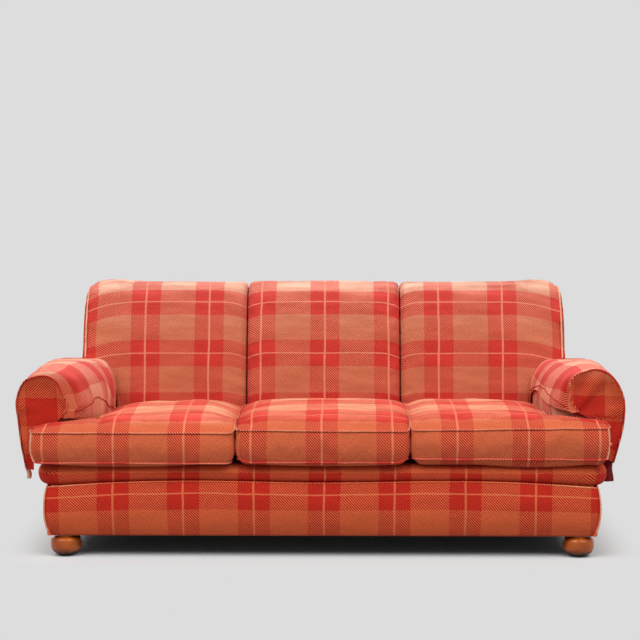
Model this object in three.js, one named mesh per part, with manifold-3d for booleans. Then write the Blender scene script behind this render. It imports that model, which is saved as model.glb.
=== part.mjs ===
// A three-seat upholstered sofa with rolled arms and loose arm covers.
// Millimetres, +Z up, +X to the sitter's left as seen from the front, the front faces -Y.
// Origin: on the floor, under the middle of the sofa.
import * as THREE from "three";
import { mergeVertices } from "three/addons/utils/BufferGeometryUtils.js";
import Module from "manifold-3d";

const wasm = await Module();
wasm.setup();

// Driving dimensions

// Gap left between pieces that press or rest on each other.
const CLEAR = 0.3;

// Seat frame: a box of four rails on edge, open at the top and bottom.
const FRAME_HALF_WIDTH = 930;
const FRAME_FRONT = -410;
const FRAME_REAR = 350;
const FRAME_BOTTOM = 80;
const RAIL_HEIGHT = 168;
const RAIL_THICKNESS = 25;
const CROSS_RAIL_HEIGHT = 100;
const SEAT_JOINT_X = 290;
const CORNER_BLOCK_LEG = 110;
const CORNER_BLOCK_HEIGHT = 60;

// Back frame: four uprights, upright below and raked above, under a top rail.
const BACK_HEIGHT = 902;
const BACK_INSET = 25;
const END_BORDER = 15;
const UPRIGHT_WIDTH = 40;
const UPRIGHT_DEPTH = 45;
const RAKE_LIFT = 75;
const RAKE_RUN = 80;
const TOP_RAIL_HEIGHT = 30;
const TOP_STUFFING = 52;
const LOWER_RAIL_LIFT = 20;
const LOWER_RAIL_HEIGHT = 40;

// Elastic webbing under the seat and across the back.
const WEB_THICKNESS = 2.5;
const WEB_WIDTH = 60;
const SEAT_WEB_PITCH = 150;
const BACK_WEB_COUNT = 3;

// Turned bun feet with a glide under each.
const FOOT_INSET_X = 44;
const FOOT_INSET_Y = 44;
const FOOT_RADIUS = 52;
const FOOT_NECK_RADIUS = 36;
const FOOT_NECK_HEIGHT = 11;
const TENON_RADIUS = 13;
const TENON_LENGTH = 40;
const GLIDE_RADIUS = 26;
const GLIDE_HEIGHT = 6;
const ROUND_SIDES = 20;

// Seat: a stuffed platform behind a stuffed edge roll, then three loose cushions.
const PLATFORM_HEIGHT = 74;
const PLATFORM_SETBACK = 50;
const ROLL_WIDTH = 80;
const ROLL_OVERHANG_FRONT = 26;
const ROLL_OVERHANG_SIDE = 40;
const ROLL_CORNER_RADIUS = 45;
const CUSHION_OVERHANG_FRONT = 30;
const EAR_OVERHANG = 60;
const CUSHION_BOX_HEIGHT = 108;
const CUSHION_CROWN = 62;
const CUSHION_EDGE = 14;
const CUSHION_GAP = 6;

// Back pads: three stuffed sections that roll over the top rail.
const BACK_PAD_THICKNESS = 133;
const BACK_PAD_GAP = 4;
const BACK_PAD_TUCK = 14;
const BACK_PAD_END = 26;
const BACK_CREST_RUN = 116;
const BACK_SHOULDER_DROP = 110;
const BACK_REAR_STUFFING = 10;

// Arms: upright inside, rolled outwards at the top.
const ARM_SETBACK = 120;
const ARM_THICKNESS = 143;
const ARM_FRONT_NARROWING = 59;
const ARM_TAPER = 150;
const ARM_HEIGHT = 395;
const ARM_CREST_INSET = 5;
const ARM_OVERHANG = 122;
const ARM_SHOULDER_DROP = 140;
const ROLL_DROP = 118;
const ARM_NOSE = 34;
const ARM_POST_DEPTH = 45;
const ARM_BOARD_DEPTH = 108;
const ARM_BOARD_HEIGHT = 25;
const ARM_BOARD_WIDTH = 110;
const TACK_RAIL_LIFT = 87;
const TACK_RAIL_HEIGHT = 40;

// Loose arm covers: cloth caps, open below, with a strip of loose hem at the front.
const COVER_THICKNESS = 4;
const COVER_EASE = 3;
const COVER_LENGTH = 505;
const COVER_INNER_DROP = 173;
const COVER_OUTER_DROP = 333;
const COVER_HANG_IN = 15;
const TAIL_LENGTH = 66;
const TAIL_WIDTHS = { left: 22, right: 58 };

// Covers on the outside of the frame.
const BORDER_THICKNESS = 14;
const BORDER_BULGE = 8;
const OUTSIDE_BACK_THICKNESS = 9;
const DUST_COVER_THICKNESS = 1.5;

// Heights and places that follow from the driving dimensions.
const RAIL_TOP = FRAME_BOTTOM + RAIL_HEIGHT;
const WEB_TOP = RAIL_TOP + CLEAR + WEB_THICKNESS;
const SIDE_RAIL_INNER = FRAME_HALF_WIDTH - RAIL_THICKNESS;
const FRONT_RAIL_INNER = FRAME_FRONT + RAIL_THICKNESS;
const UPRIGHT_FRONT = FRAME_REAR - UPRIGHT_DEPTH;
const UPRIGHT_TOP = BACK_HEIGHT - TOP_STUFFING - TOP_RAIL_HEIGHT;
const BACK_HALF_WIDTH = FRAME_HALF_WIDTH - BACK_INSET;
const BACK_FRAME_HALF_WIDTH = BACK_HALF_WIDTH - END_BORDER;
const PLATFORM_BOTTOM = WEB_TOP + CLEAR;
const PLATFORM_TOP = PLATFORM_BOTTOM + PLATFORM_HEIGHT;
const PLATFORM_REAR = UPRIGHT_FRONT - PLATFORM_SETBACK;
const LOWER_RAIL_BOTTOM = PLATFORM_TOP + LOWER_RAIL_LIFT;
const RAKE_START = PLATFORM_TOP + RAKE_LIFT;
const ROLL_FRONT = FRAME_FRONT - ROLL_OVERHANG_FRONT;
const ROLL_HALF_WIDTH = FRAME_HALF_WIDTH + ROLL_OVERHANG_SIDE;
const BACK_PAD_FRONT = UPRIGHT_FRONT - BACK_PAD_THICKNESS;
const BACK_REAR = FRAME_REAR + RAKE_RUN + BACK_REAR_STUFFING;
const CUSHION_FRONT = FRAME_FRONT - CUSHION_OVERHANG_FRONT;
const CUSHION_REAR = BACK_PAD_FRONT - CUSHION_GAP;
const CUSHION_BOTTOM = PLATFORM_TOP + CLEAR;
const CUSHION_BOX_TOP = CUSHION_BOTTOM + CUSHION_BOX_HEIGHT;
const EAR_HALF_WIDTH = FRAME_HALF_WIDTH + EAR_OVERHANG;
const ARM_FRONT = FRAME_FRONT + ARM_SETBACK;
const ARM_INNER = FRAME_HALF_WIDTH - ARM_THICKNESS;
const ARM_FRONT_INNER = ARM_INNER + ARM_FRONT_NARROWING;
const ARM_TOP = RAIL_TOP + ARM_HEIGHT;
const ARM_TOP_X = FRAME_HALF_WIDTH - ARM_CREST_INSET;
const ARM_OUTER = FRAME_HALF_WIDTH + ARM_OVERHANG;
const ROLL_CENTRE_Z = ARM_TOP - ROLL_DROP;
const ARM_BOARD_BOTTOM = ARM_TOP - ARM_BOARD_DEPTH;
const TACK_RAIL_BOTTOM = RAIL_TOP + TACK_RAIL_LIFT;
const COVER_REAR = ARM_FRONT + COVER_LENGTH;
const COVER_INNER_HEM = ARM_TOP - COVER_INNER_DROP;
const COVER_OUTER_HEM = ARM_TOP - COVER_OUTER_DROP;
const COVER_HEM_X = ARM_OUTER - COVER_HANG_IN;
const BORDER_HALF_WIDTH = FRAME_HALF_WIDTH + CLEAR + BORDER_THICKNESS;
const SIDES = [
  { name: "left", sign: -1 },
  { name: "right", sign: 1 },
];

// Materials, in the colours of the real cloth and wood.
function finish(color, roughness, metalness = 0) {
  return new THREE.MeshStandardMaterial({ color, roughness, metalness });
}
const plaid = finish(0xc2503a, 0.95);
const plaidCover = finish(0xc8473c, 0.95);
const beech = finish(0xc9a46c, 0.7);
const webbing = finish(0x2f2b28, 0.9);
const walnut = finish(0x8a4a17, 0.35);
const glidePlastic = finish(0x171513, 0.5);
const cambric = finish(0x141312, 0.95);

const sofa = new THREE.Group();

function add(name, geometry, material) {
  const mesh = new THREE.Mesh(geometry, material);
  mesh.name = name;
  sofa.add(mesh);
  return mesh;
}

// A box between two corners.
function boxBetween(low, high) {
  const size = high.map((value, axis) => value - low[axis]);
  const box = new THREE.BoxGeometry(...size);
  box.translate(...low.map((value, axis) => value + size[axis] / 2));
  return box;
}

// The same box for either side: x runs from near the middle outwards.
function sideBox(sign, near, far) {
  const xs = [sign * near[0], sign * far[0]].sort((a, b) => a - b);
  return boxBetween([xs[0], near[1], near[2]], [xs[1], far[1], far[2]]);
}

// Joining and cutting of closed meshes.
function toSolid(geometry) {
  const plain = geometry.clone();
  plain.deleteAttribute("normal");
  plain.deleteAttribute("uv");
  const merged = mergeVertices(plain, 1e-3);
  return new wasm.Manifold(
    new wasm.Mesh({
      numProp: 3,
      vertProperties: new Float32Array(merged.attributes.position.array),
      triVerts: new Uint32Array(merged.index.array),
    }),
  );
}

function toGeometry(solid) {
  const mesh = solid.getMesh();
  const geometry = new THREE.BufferGeometry();
  geometry.setAttribute("position", new THREE.BufferAttribute(mesh.vertProperties, 3));
  geometry.setIndex(new THREE.BufferAttribute(mesh.triVerts, 1));
  geometry.computeVertexNormals();
  return geometry;
}

// A closed skin through a row of outlines with the same number of points, capped at both ends.
function skin(sections) {
  const count = sections[0].length;
  const points = sections.flat();
  const faces = [];
  for (let s = 0; s + 1 < sections.length; s++) {
    for (let i = 0; i < count; i++) {
      const a = s * count + i;
      const b = s * count + ((i + 1) % count);
      faces.push([a, b, b + count], [a, b + count, a + count]);
    }
  }
  const last = (sections.length - 1) * count;
  for (const cap of capFaces(sections[0])) faces.push([...cap].reverse());
  for (const cap of capFaces(sections.at(-1))) faces.push(cap.map((i) => i + last));
  const volume = faces.reduce(
    (sum, [a, b, c]) => sum + points[a].dot(points[b].clone().cross(points[c])),
    0,
  );
  const index = faces.flatMap((face) => (volume < 0 ? [...face].reverse() : face));
  const geometry = new THREE.BufferGeometry().setFromPoints(points);
  geometry.setIndex(index);
  geometry.computeVertexNormals();
  return geometry;
}

// Triangles of a flat outline, turned the way its points run.
function capFaces(section) {
  const spread = new THREE.Box3().setFromPoints(section).getSize(new THREE.Vector3());
  const flat = ["x", "y", "z"].sort((a, b) => spread[b] - spread[a]).slice(0, 2);
  const outline = section.map((p) => new THREE.Vector2(p[flat[0]], p[flat[1]]));
  const sense = Math.sign(THREE.ShapeUtils.area(outline));
  const turned = (face) => Math.sign(THREE.ShapeUtils.area(face.map((i) => outline[i])));
  return THREE.ShapeUtils.triangulateShape(outline, []).map((face) =>
    turned(face) === sense ? face : [...face].reverse(),
  );
}

// Outlines in the x-z plane at a depth y, and in the y-z plane at a place x.
const acrossDepth = (outline, y) => outline.map((p) => new THREE.Vector3(p.x, y, p.y));
const acrossWidth = (outline, x) => outline.map((p) => new THREE.Vector3(x, p.x, p.y));

// Seat frame

function seatFrame() {
  const railTo = (low, high) => boxBetween([...low, FRAME_BOTTOM], [...high, RAIL_TOP]);
  add(
    "front_seat_rail",
    railTo([-FRAME_HALF_WIDTH, FRAME_FRONT], [FRAME_HALF_WIDTH, FRONT_RAIL_INNER]),
    beech,
  );
  add(
    "back_seat_rail",
    railTo([-FRAME_HALF_WIDTH, UPRIGHT_FRONT], [FRAME_HALF_WIDTH, FRAME_REAR]),
    beech,
  );
  const crossMiddle = FRAME_BOTTOM + RAIL_HEIGHT / 2;
  for (const { name, sign } of SIDES) {
    add(
      `side_rail_${name}`,
      sideBox(
        sign,
        [SIDE_RAIL_INNER, FRONT_RAIL_INNER, FRAME_BOTTOM],
        [FRAME_HALF_WIDTH, UPRIGHT_FRONT, RAIL_TOP],
      ),
      beech,
    );
    add(
      `seat_cross_rail_${name}`,
      sideBox(
        sign,
        [SEAT_JOINT_X - RAIL_THICKNESS / 2, FRONT_RAIL_INNER, crossMiddle - CROSS_RAIL_HEIGHT / 2],
        [SEAT_JOINT_X + RAIL_THICKNESS / 2, UPRIGHT_FRONT, crossMiddle + CROSS_RAIL_HEIGHT / 2],
      ),
      beech,
    );
  }
}

// Feet sit under corner blocks, each with a turned tenon glued into its block.
function feet() {
  const corners = [
    { end: "front", y: FRONT_RAIL_INNER, inward: 1 },
    { end: "rear", y: UPRIGHT_FRONT, inward: -1 },
  ];
  const footX = FRAME_HALF_WIDTH - FOOT_INSET_X;
  const footFloor = GLIDE_HEIGHT + CLEAR;
  const footTop = FRAME_BOTTOM - CLEAR;
  for (const { name, sign } of SIDES) {
    for (const { end, y, inward } of corners) {
      const footY = y + inward * (FOOT_INSET_Y - RAIL_THICKNESS);
      add(`corner_block_${end}_${name}`, cornerBlock(sign, y, inward, footX, footY), beech);
      add(`foot_${end}_${name}`, bunFoot(footFloor, footTop), walnut).position.set(
        sign * footX,
        footY,
        0,
      );
      add(`glide_${end}_${name}`, glide(), glidePlastic).position.set(sign * footX, footY, 0);
    }
  }
}

function cornerBlock(sign, y, inward, footX, footY) {
  const outline = new THREE.Shape();
  outline.moveTo(sign * SIDE_RAIL_INNER, y);
  outline.lineTo(sign * (SIDE_RAIL_INNER - CORNER_BLOCK_LEG), y);
  outline.lineTo(sign * SIDE_RAIL_INNER, y + inward * CORNER_BLOCK_LEG);
  outline.closePath();
  const socket = new THREE.Path();
  socket.absarc(sign * footX, footY, TENON_RADIUS + CLEAR, 0, 2 * Math.PI);
  outline.holes.push(socket);
  const block = new THREE.ExtrudeGeometry(outline, {
    depth: CORNER_BLOCK_HEIGHT,
    bevelEnabled: false,
    curveSegments: ROUND_SIDES / 2,
  });
  return block.translate(0, 0, FRAME_BOTTOM);
}

// A flattened ball between a narrow tread and a neck, turned in one piece with its tenon.
function bunFoot(floor, top) {
  const shoulder = top - FOOT_NECK_HEIGHT;
  const height = shoulder - floor;
  const belly = (level) => floor + height * level;
  const profile = [
    new THREE.Vector2(0, floor),
    new THREE.Vector2(FOOT_RADIUS * 0.58, floor),
    new THREE.Vector2(FOOT_RADIUS * 0.86, belly(0.14)),
    new THREE.Vector2(FOOT_RADIUS, belly(0.45)),
    new THREE.Vector2(FOOT_RADIUS, belly(0.68)),
    new THREE.Vector2(FOOT_RADIUS * 0.9, belly(0.92)),
    new THREE.Vector2(FOOT_NECK_RADIUS, shoulder),
    new THREE.Vector2(FOOT_NECK_RADIUS, top),
    new THREE.Vector2(TENON_RADIUS, top),
    new THREE.Vector2(TENON_RADIUS, top + TENON_LENGTH),
    new THREE.Vector2(0, top + TENON_LENGTH),
  ];
  return new THREE.LatheGeometry(profile, ROUND_SIDES).rotateX(Math.PI / 2);
}

function glide() {
  const profile = [
    new THREE.Vector2(0, 0),
    new THREE.Vector2(GLIDE_RADIUS * 0.92, 0),
    new THREE.Vector2(GLIDE_RADIUS, GLIDE_HEIGHT / 2),
    new THREE.Vector2(GLIDE_RADIUS * 0.92, GLIDE_HEIGHT),
    new THREE.Vector2(0, GLIDE_HEIGHT),
  ];
  return new THREE.LatheGeometry(profile, ROUND_SIDES).rotateX(Math.PI / 2);
}

// Back frame

// How far the back leans away at a height.
function rakeAt(z) {
  const share = (z - RAKE_START) / (UPRIGHT_TOP - RAKE_START);
  return RAKE_RUN * Math.max(0, share);
}

function upright(middle) {
  const outline = [
    new THREE.Vector2(UPRIGHT_FRONT, RAIL_TOP),
    new THREE.Vector2(FRAME_REAR, RAIL_TOP),
    new THREE.Vector2(FRAME_REAR, RAKE_START),
    new THREE.Vector2(FRAME_REAR + RAKE_RUN, UPRIGHT_TOP),
    new THREE.Vector2(UPRIGHT_FRONT + RAKE_RUN, UPRIGHT_TOP),
    new THREE.Vector2(UPRIGHT_FRONT, RAKE_START),
  ];
  const half = UPRIGHT_WIDTH / 2;
  return skin([acrossWidth(outline, middle - half), acrossWidth(outline, middle + half)]);
}

function backFrame() {
  const postX = BACK_FRAME_HALF_WIDTH - UPRIGHT_WIDTH / 2;
  for (const { name, sign } of SIDES) {
    add(`back_post_${name}`, upright(sign * postX), beech);
    add(`back_stile_${name}`, upright(sign * SEAT_JOINT_X), beech);
  }
  add(
    "back_top_rail",
    boxBetween(
      [-BACK_FRAME_HALF_WIDTH, UPRIGHT_FRONT + RAKE_RUN, UPRIGHT_TOP],
      [BACK_FRAME_HALF_WIDTH, FRAME_REAR + RAKE_RUN, UPRIGHT_TOP + TOP_RAIL_HEIGHT],
    ),
    beech,
  );
  const lowerRailEnd = ARM_INNER - CLEAR;
  add(
    "back_lower_rail",
    boxBetween(
      [-lowerRailEnd, UPRIGHT_FRONT - RAIL_THICKNESS, LOWER_RAIL_BOTTOM],
      [lowerRailEnd, UPRIGHT_FRONT, LOWER_RAIL_BOTTOM + LOWER_RAIL_HEIGHT],
    ),
    beech,
  );
  const webPitch = (UPRIGHT_TOP - RAKE_START) / (BACK_WEB_COUNT + 1);
  for (let i = 1; i <= BACK_WEB_COUNT; i++) {
    add(`back_web_${i}`, backWeb(RAKE_START + i * webPitch), webbing);
  }
}

// A strap across the raked front of the uprights.
function backWeb(z) {
  const slope = RAKE_RUN / (UPRIGHT_TOP - RAKE_START);
  const face = (level, off) =>
    new THREE.Vector2(UPRIGHT_FRONT + slope * (level - RAKE_START) - off, level);
  const [low, high] = [z - WEB_WIDTH / 2, z + WEB_WIDTH / 2];
  const outer = CLEAR + WEB_THICKNESS;
  const outline = [face(low, CLEAR), face(high, CLEAR), face(high, outer), face(low, outer)];
  const end = ARM_INNER - CLEAR;
  return skin([acrossWidth(outline, -end), acrossWidth(outline, end)]);
}

// Seat webbing: three straps for each seat, from the front rail to the back rail.
function seatWebs() {
  const sideSeat = (SEAT_JOINT_X + ARM_INNER) / 2;
  const seats = { left: -sideSeat, centre: 0, right: sideSeat };
  for (const [seat, middle] of Object.entries(seats)) {
    for (const place of [-1, 0, 1]) {
      const x = middle + place * SEAT_WEB_PITCH;
      add(
        `seat_web_${seat}_${place + 2}`,
        boxBetween(
          [x - WEB_WIDTH / 2, FRAME_FRONT, RAIL_TOP + CLEAR],
          [x + WEB_WIDTH / 2, UPRIGHT_FRONT - CLEAR, WEB_TOP],
        ),
        webbing,
      );
    }
  }
}

// Seat upholstery

function platform() {
  const front = ROLL_FRONT + ROLL_WIDTH + CLEAR;
  const earEnd = ROLL_HALF_WIDTH - ROLL_WIDTH - CLEAR;
  const earRear = ARM_FRONT - COVER_EASE - COVER_THICKNESS - CLEAR;
  const side = ARM_INNER - CLEAR;
  const corner = ROLL_CORNER_RADIUS / 2;
  const outline = new THREE.Shape();
  outline.moveTo(-earEnd, front + corner);
  outline.lineTo(-earEnd + corner, front);
  outline.lineTo(earEnd - corner, front);
  outline.lineTo(earEnd, front + corner);
  outline.lineTo(earEnd, earRear);
  outline.lineTo(side, earRear);
  outline.lineTo(side, PLATFORM_REAR);
  outline.lineTo(-side, PLATFORM_REAR);
  outline.lineTo(-side, earRear);
  outline.lineTo(-earEnd, earRear);
  outline.closePath();
  const pad = new THREE.ExtrudeGeometry(outline, { depth: PLATFORM_HEIGHT, bevelEnabled: false });
  add("seat_platform", pad.translate(0, 0, PLATFORM_BOTTOM), plaid);
}

// The stuffed roll runs along the front edge and returns to the arms round both corners.
function edgeRoll() {
  const half = ROLL_WIDTH / 2;
  const lineX = ROLL_HALF_WIDTH - half;
  const lineY = ROLL_FRONT + half;
  const rear = ARM_FRONT - COVER_EASE - COVER_THICKNESS - CLEAR;
  const path = new THREE.Path();
  path.moveTo(-lineX, rear);
  path.lineTo(-lineX, lineY + ROLL_CORNER_RADIUS);
  path.absarc(-lineX + ROLL_CORNER_RADIUS, lineY + ROLL_CORNER_RADIUS, ROLL_CORNER_RADIUS,
    Math.PI, 1.5 * Math.PI);
  path.lineTo(lineX - ROLL_CORNER_RADIUS, lineY);
  path.absarc(lineX - ROLL_CORNER_RADIUS, lineY + ROLL_CORNER_RADIUS, ROLL_CORNER_RADIUS,
    1.5 * Math.PI, 2 * Math.PI);
  path.lineTo(lineX, rear);
  const line = path.getPoints(4).filter((p, i, all) => i === 0 || p.distanceTo(all[i - 1]) > 1);
  const round = new THREE.EllipseCurve(0, 0, half, PLATFORM_HEIGHT / 2).getPoints(12).slice(0, -1);
  const middleZ = PLATFORM_BOTTOM + PLATFORM_HEIGHT / 2;
  const sections = line.map((p, i) => {
    const before = line[Math.max(0, i - 1)];
    const after = line[Math.min(line.length - 1, i + 1)];
    const along = after.clone().sub(before).normalize();
    return round.map(
      (r) => new THREE.Vector3(p.x + along.y * r.x, p.y - along.x * r.x, middleZ + r.y),
    );
  });
  add("front_edge_roll", skin(sections), plaid);
}

// A boxed cushion between two sides: flat below, crowned above, with eased edges.
function cushionOutline(low, high, crown, inset) {
  const [left, right] = [low + inset, high - inset];
  const bottom = CUSHION_BOTTOM + inset;
  const boxTop = CUSHION_BOX_TOP - inset;
  const steps = 8;
  const points = [
    new THREE.Vector2(left, bottom + CUSHION_EDGE),
    new THREE.Vector2(left + CUSHION_EDGE, bottom),
    new THREE.Vector2(right - CUSHION_EDGE, bottom),
    new THREE.Vector2(right, bottom + CUSHION_EDGE),
  ];
  for (let i = 0; i <= steps; i++) {
    const across = 1 - (2 * i) / steps;
    const x = (left + right) / 2 + (across * (right - left)) / 2;
    points.push(new THREE.Vector2(x, boxTop + crown * (1 - across ** 2)));
  }
  return points;
}

// Depths along a cushion, from its eased front edge to its rear edge.
function cushionStations(extra = []) {
  const depth = CUSHION_REAR - CUSHION_FRONT;
  const inner = [0.12, 0.3, 0.5, 0.7, 0.88].map((share) => CUSHION_FRONT + share * depth);
  const ends = [
    { y: CUSHION_FRONT, inset: CUSHION_EDGE / 2 },
    { y: CUSHION_FRONT + CUSHION_EDGE, inset: 0 },
    { y: CUSHION_REAR - CUSHION_EDGE, inset: 0 },
    { y: CUSHION_REAR, inset: CUSHION_EDGE / 2 },
  ];
  const rest = [...inner, ...extra].map((y) => ({ y, inset: 0 }));
  return [...ends, ...rest].sort((a, b) => a.y - b.y);
}

function crownAt(y) {
  const across = (2 * (y - CUSHION_FRONT)) / (CUSHION_REAR - CUSHION_FRONT) - 1;
  return CUSHION_CROWN * Math.max(0, 1 - Math.abs(across) ** 2.4);
}

function seatCushions() {
  const inner = SEAT_JOINT_X + CUSHION_GAP / 2;
  const beside = ARM_INNER - COVER_EASE - COVER_THICKNESS - CLEAR;
  const earRear = ARM_FRONT - COVER_EASE - COVER_THICKNESS - CUSHION_GAP;
  const centre = cushionStations().map(({ y, inset }) =>
    acrossDepth(cushionOutline(-inner + CUSHION_GAP, inner - CUSHION_GAP, crownAt(y), inset), y),
  );
  add("seat_cushion_centre", skin(centre), plaid);
  const turn = [earRear, earRear + CUSHION_EDGE];
  for (const { name, sign } of SIDES) {
    const sections = cushionStations(turn).map(({ y, inset }) => {
      const outer = y <= earRear ? EAR_HALF_WIDTH : beside;
      const span = [sign * inner, sign * outer].sort((a, b) => a - b);
      return acrossDepth(cushionOutline(...span, crownAt(y), inset), y);
    });
    add(`seat_cushion_${name}`, skin(sections), plaid);
  }
}

// Arms

// The arm's section: x is the distance from the middle, y the height. A positive growth gives a
// parallel outline outside it, and the inner side can move outwards, as it does near the front.
function armSection(growth, inner, bottom) {
  const rounds = 8;
  const rim = inner - growth;
  const shoulder = ARM_TOP - ARM_SHOULDER_DROP;
  const panel = FRAME_HALF_WIDTH + Math.min(growth, 0);
  const rise = new THREE.EllipseCurve(ARM_TOP_X, shoulder, ARM_TOP_X - rim,
    ARM_SHOULDER_DROP + growth, Math.PI, Math.PI / 2, true);
  const roll = new THREE.EllipseCurve(ARM_TOP_X, ROLL_CENTRE_Z, ARM_OUTER - ARM_TOP_X + growth,
    ROLL_DROP + growth, Math.PI / 2, -0.42 * Math.PI, true);
  return [
    new THREE.Vector2(rim, bottom),
    ...rise.getPoints(rounds),
    ...roll.getPoints(rounds).slice(1),
    new THREE.Vector2(panel, ROLL_CENTRE_Z - ROLL_DROP - growth),
    new THREE.Vector2(panel, bottom),
  ];
}

// Stations along the arm: the nose is rounded and its inner side tapers outwards.
function armStations(rear) {
  return [
    { y: ARM_FRONT, growth: -ARM_NOSE },
    { y: ARM_FRONT + ARM_NOSE * 0.3, growth: -ARM_NOSE * 0.4 },
    { y: ARM_FRONT + ARM_NOSE, growth: 0 },
    { y: ARM_FRONT + ARM_TAPER * 0.6, growth: 0 },
    { y: ARM_FRONT + ARM_TAPER, growth: 0 },
    { y: rear, growth: 0 },
  ];
}

function armInnerAt(y) {
  const share = Math.min(1, (y - ARM_FRONT) / ARM_TAPER);
  const ease = Math.cos((share * Math.PI) / 2) ** 2;
  return ARM_INNER + (ARM_FRONT_INNER - ARM_INNER) * ease;
}

const armBody = (sign, rear, bottom, extra) =>
  skin(
    armStations(rear).map(({ y, growth }) =>
      armSection(growth + extra, armInnerAt(y), bottom).map(
        (p) => new THREE.Vector3(sign * p.x, y, p.y),
      ),
    ),
  );

// Arm frame: a front post, a board under the roll, and a rail to tack the inside arm to.
function armFrameBoxes(sign, grow) {
  const postRear = ARM_FRONT + ARM_NOSE + ARM_POST_DEPTH;
  const postInner = SIDE_RAIL_INNER - RAIL_THICKNESS;
  const boardInner = BACK_FRAME_HALF_WIDTH - UPRIGHT_WIDTH;
  const cut = (near, far) =>
    sideBox(
      sign,
      near.map((value) => value - grow),
      far.map((value) => value + grow),
    );
  return {
    arm_post: cut(
      [postInner, postRear - ARM_POST_DEPTH, FRAME_BOTTOM],
      [SIDE_RAIL_INNER, postRear, ARM_BOARD_BOTTOM],
    ),
    arm_top_rail: cut(
      [boardInner, postRear - ARM_POST_DEPTH, ARM_BOARD_BOTTOM],
      [
        boardInner + ARM_BOARD_WIDTH,
        UPRIGHT_FRONT,
        ARM_BOARD_BOTTOM + ARM_BOARD_HEIGHT,
      ],
    ),
    arm_tack_rail: cut(
      [postInner, postRear, TACK_RAIL_BOTTOM],
      [SIDE_RAIL_INNER, UPRIGHT_FRONT, TACK_RAIL_BOTTOM + TACK_RAIL_HEIGHT],
    ),
  };
}

function arms() {
  const postX = BACK_FRAME_HALF_WIDTH - UPRIGHT_WIDTH / 2;
  for (const { name, sign } of SIDES) {
    for (const [piece, box] of Object.entries(armFrameBoxes(sign, 0))) {
      add(`${piece}_${name}`, box, beech);
    }
    let pad = toSolid(armBody(sign, FRAME_REAR, RAIL_TOP + CLEAR, 0));
    for (const box of Object.values(armFrameBoxes(sign, CLEAR))) pad = pad.subtract(toSolid(box));
    pad = pad.subtract(toSolid(postRoom(sign * postX)));
    add(`arm_${name}`, toGeometry(pad), plaid);
    add(`arm_cover_${name}`, armCover(name, sign), plaidCover);
  }
}

// Room in the arm for the back post.
function postRoom(middle) {
  const half = UPRIGHT_WIDTH / 2 + CLEAR;
  const lean = rakeAt(ARM_TOP) + CLEAR;
  return boxBetween(
    [middle - half, UPRIGHT_FRONT - CLEAR, RAIL_TOP - CLEAR],
    [middle + half, FRAME_REAR + lean, ARM_TOP + CLEAR],
  );
}

// The cover lies over the arm, and its outer side hangs straight down from the roll.
function coverSection(growth, inner, innerHem, outerHem) {
  const rounds = 8;
  const rim = inner - growth;
  const shoulder = ARM_TOP - ARM_SHOULDER_DROP;
  const rise = new THREE.EllipseCurve(ARM_TOP_X, shoulder, ARM_TOP_X - rim,
    ARM_SHOULDER_DROP + growth, Math.PI, Math.PI / 2, true);
  const fall = new THREE.EllipseCurve(ARM_TOP_X, ROLL_CENTRE_Z, ARM_OUTER - ARM_TOP_X + growth,
    ROLL_DROP + growth, Math.PI / 2, 0, true);
  return [
    new THREE.Vector2(rim, innerHem),
    ...rise.getPoints(rounds),
    ...fall.getPoints(rounds).slice(1),
    new THREE.Vector2(flapAt(outerHem) + growth, outerHem),
  ];
}

// How far out the hanging flap is at a height, on its straight line from the roll to the hem.
function flapAt(z) {
  const share = (ROLL_CENTRE_Z - z) / (ROLL_CENTRE_Z - COVER_OUTER_HEM);
  return ARM_OUTER + (COVER_HEM_X - ARM_OUTER) * share;
}

function coverBody(sign, growth, rear, drop) {
  return skin(
    armStations(rear).map((station) => {
      const section = coverSection(
        station.growth + growth,
        armInnerAt(station.y),
        COVER_INNER_HEM - drop,
        COVER_OUTER_HEM - drop,
      );
      const y = station.y === rear ? rear : station.y - growth;
      return section.map((p) => new THREE.Vector3(sign * p.x, y, p.y));
    }),
  );
}

function armCover(name, sign) {
  const under = COVER_EASE;
  const over = COVER_EASE + COVER_THICKNESS;
  const open = 2 * TAIL_LENGTH;
  const shell = toSolid(coverBody(sign, over, COVER_REAR, 0)).subtract(
    toSolid(coverBody(sign, under, COVER_REAR + open, open)),
  );
  const front = ARM_FRONT + ARM_NOSE;
  const tail = sideBox(
    sign,
    [COVER_HEM_X + under, front, COVER_OUTER_HEM - TAIL_LENGTH],
    [COVER_HEM_X + over, front + TAIL_WIDTHS[name], COVER_OUTER_HEM + over],
  );
  return toGeometry(shell.add(toSolid(tail)));
}

// Back pads

// The stuffed side of the back in section, from the seat over the top to the rear: x is the depth.
function backFace() {
  const bottom = PLATFORM_TOP + CLEAR;
  const shoulder = new THREE.Vector2(BACK_PAD_FRONT + RAKE_RUN, BACK_HEIGHT - BACK_SHOULDER_DROP);
  const crest = new THREE.Vector2(shoulder.x + BACK_CREST_RUN, BACK_HEIGHT);
  const curve = new THREE.Path();
  curve.moveTo(BACK_PAD_FRONT + BACK_PAD_TUCK, bottom);
  curve.bezierCurveTo(
    BACK_PAD_FRONT - 2 * BACK_PAD_TUCK, bottom + BACK_SHOULDER_DROP,
    BACK_PAD_FRONT + RAKE_RUN * 0.3, shoulder.y - BACK_SHOULDER_DROP * 1.4,
    shoulder.x, shoulder.y,
  );
  curve.bezierCurveTo(
    shoulder.x + BACK_PAD_TUCK * 1.5, shoulder.y + BACK_SHOULDER_DROP * 0.65,
    crest.x - BACK_CREST_RUN / 2, BACK_HEIGHT,
    crest.x, BACK_HEIGHT,
  );
  curve.bezierCurveTo(
    (crest.x + BACK_REAR) / 2, BACK_HEIGHT,
    BACK_REAR, BACK_HEIGHT - BACK_SHOULDER_DROP * 0.3,
    BACK_REAR, UPRIGHT_TOP,
  );
  return curve.getPoints(6);
}

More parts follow.
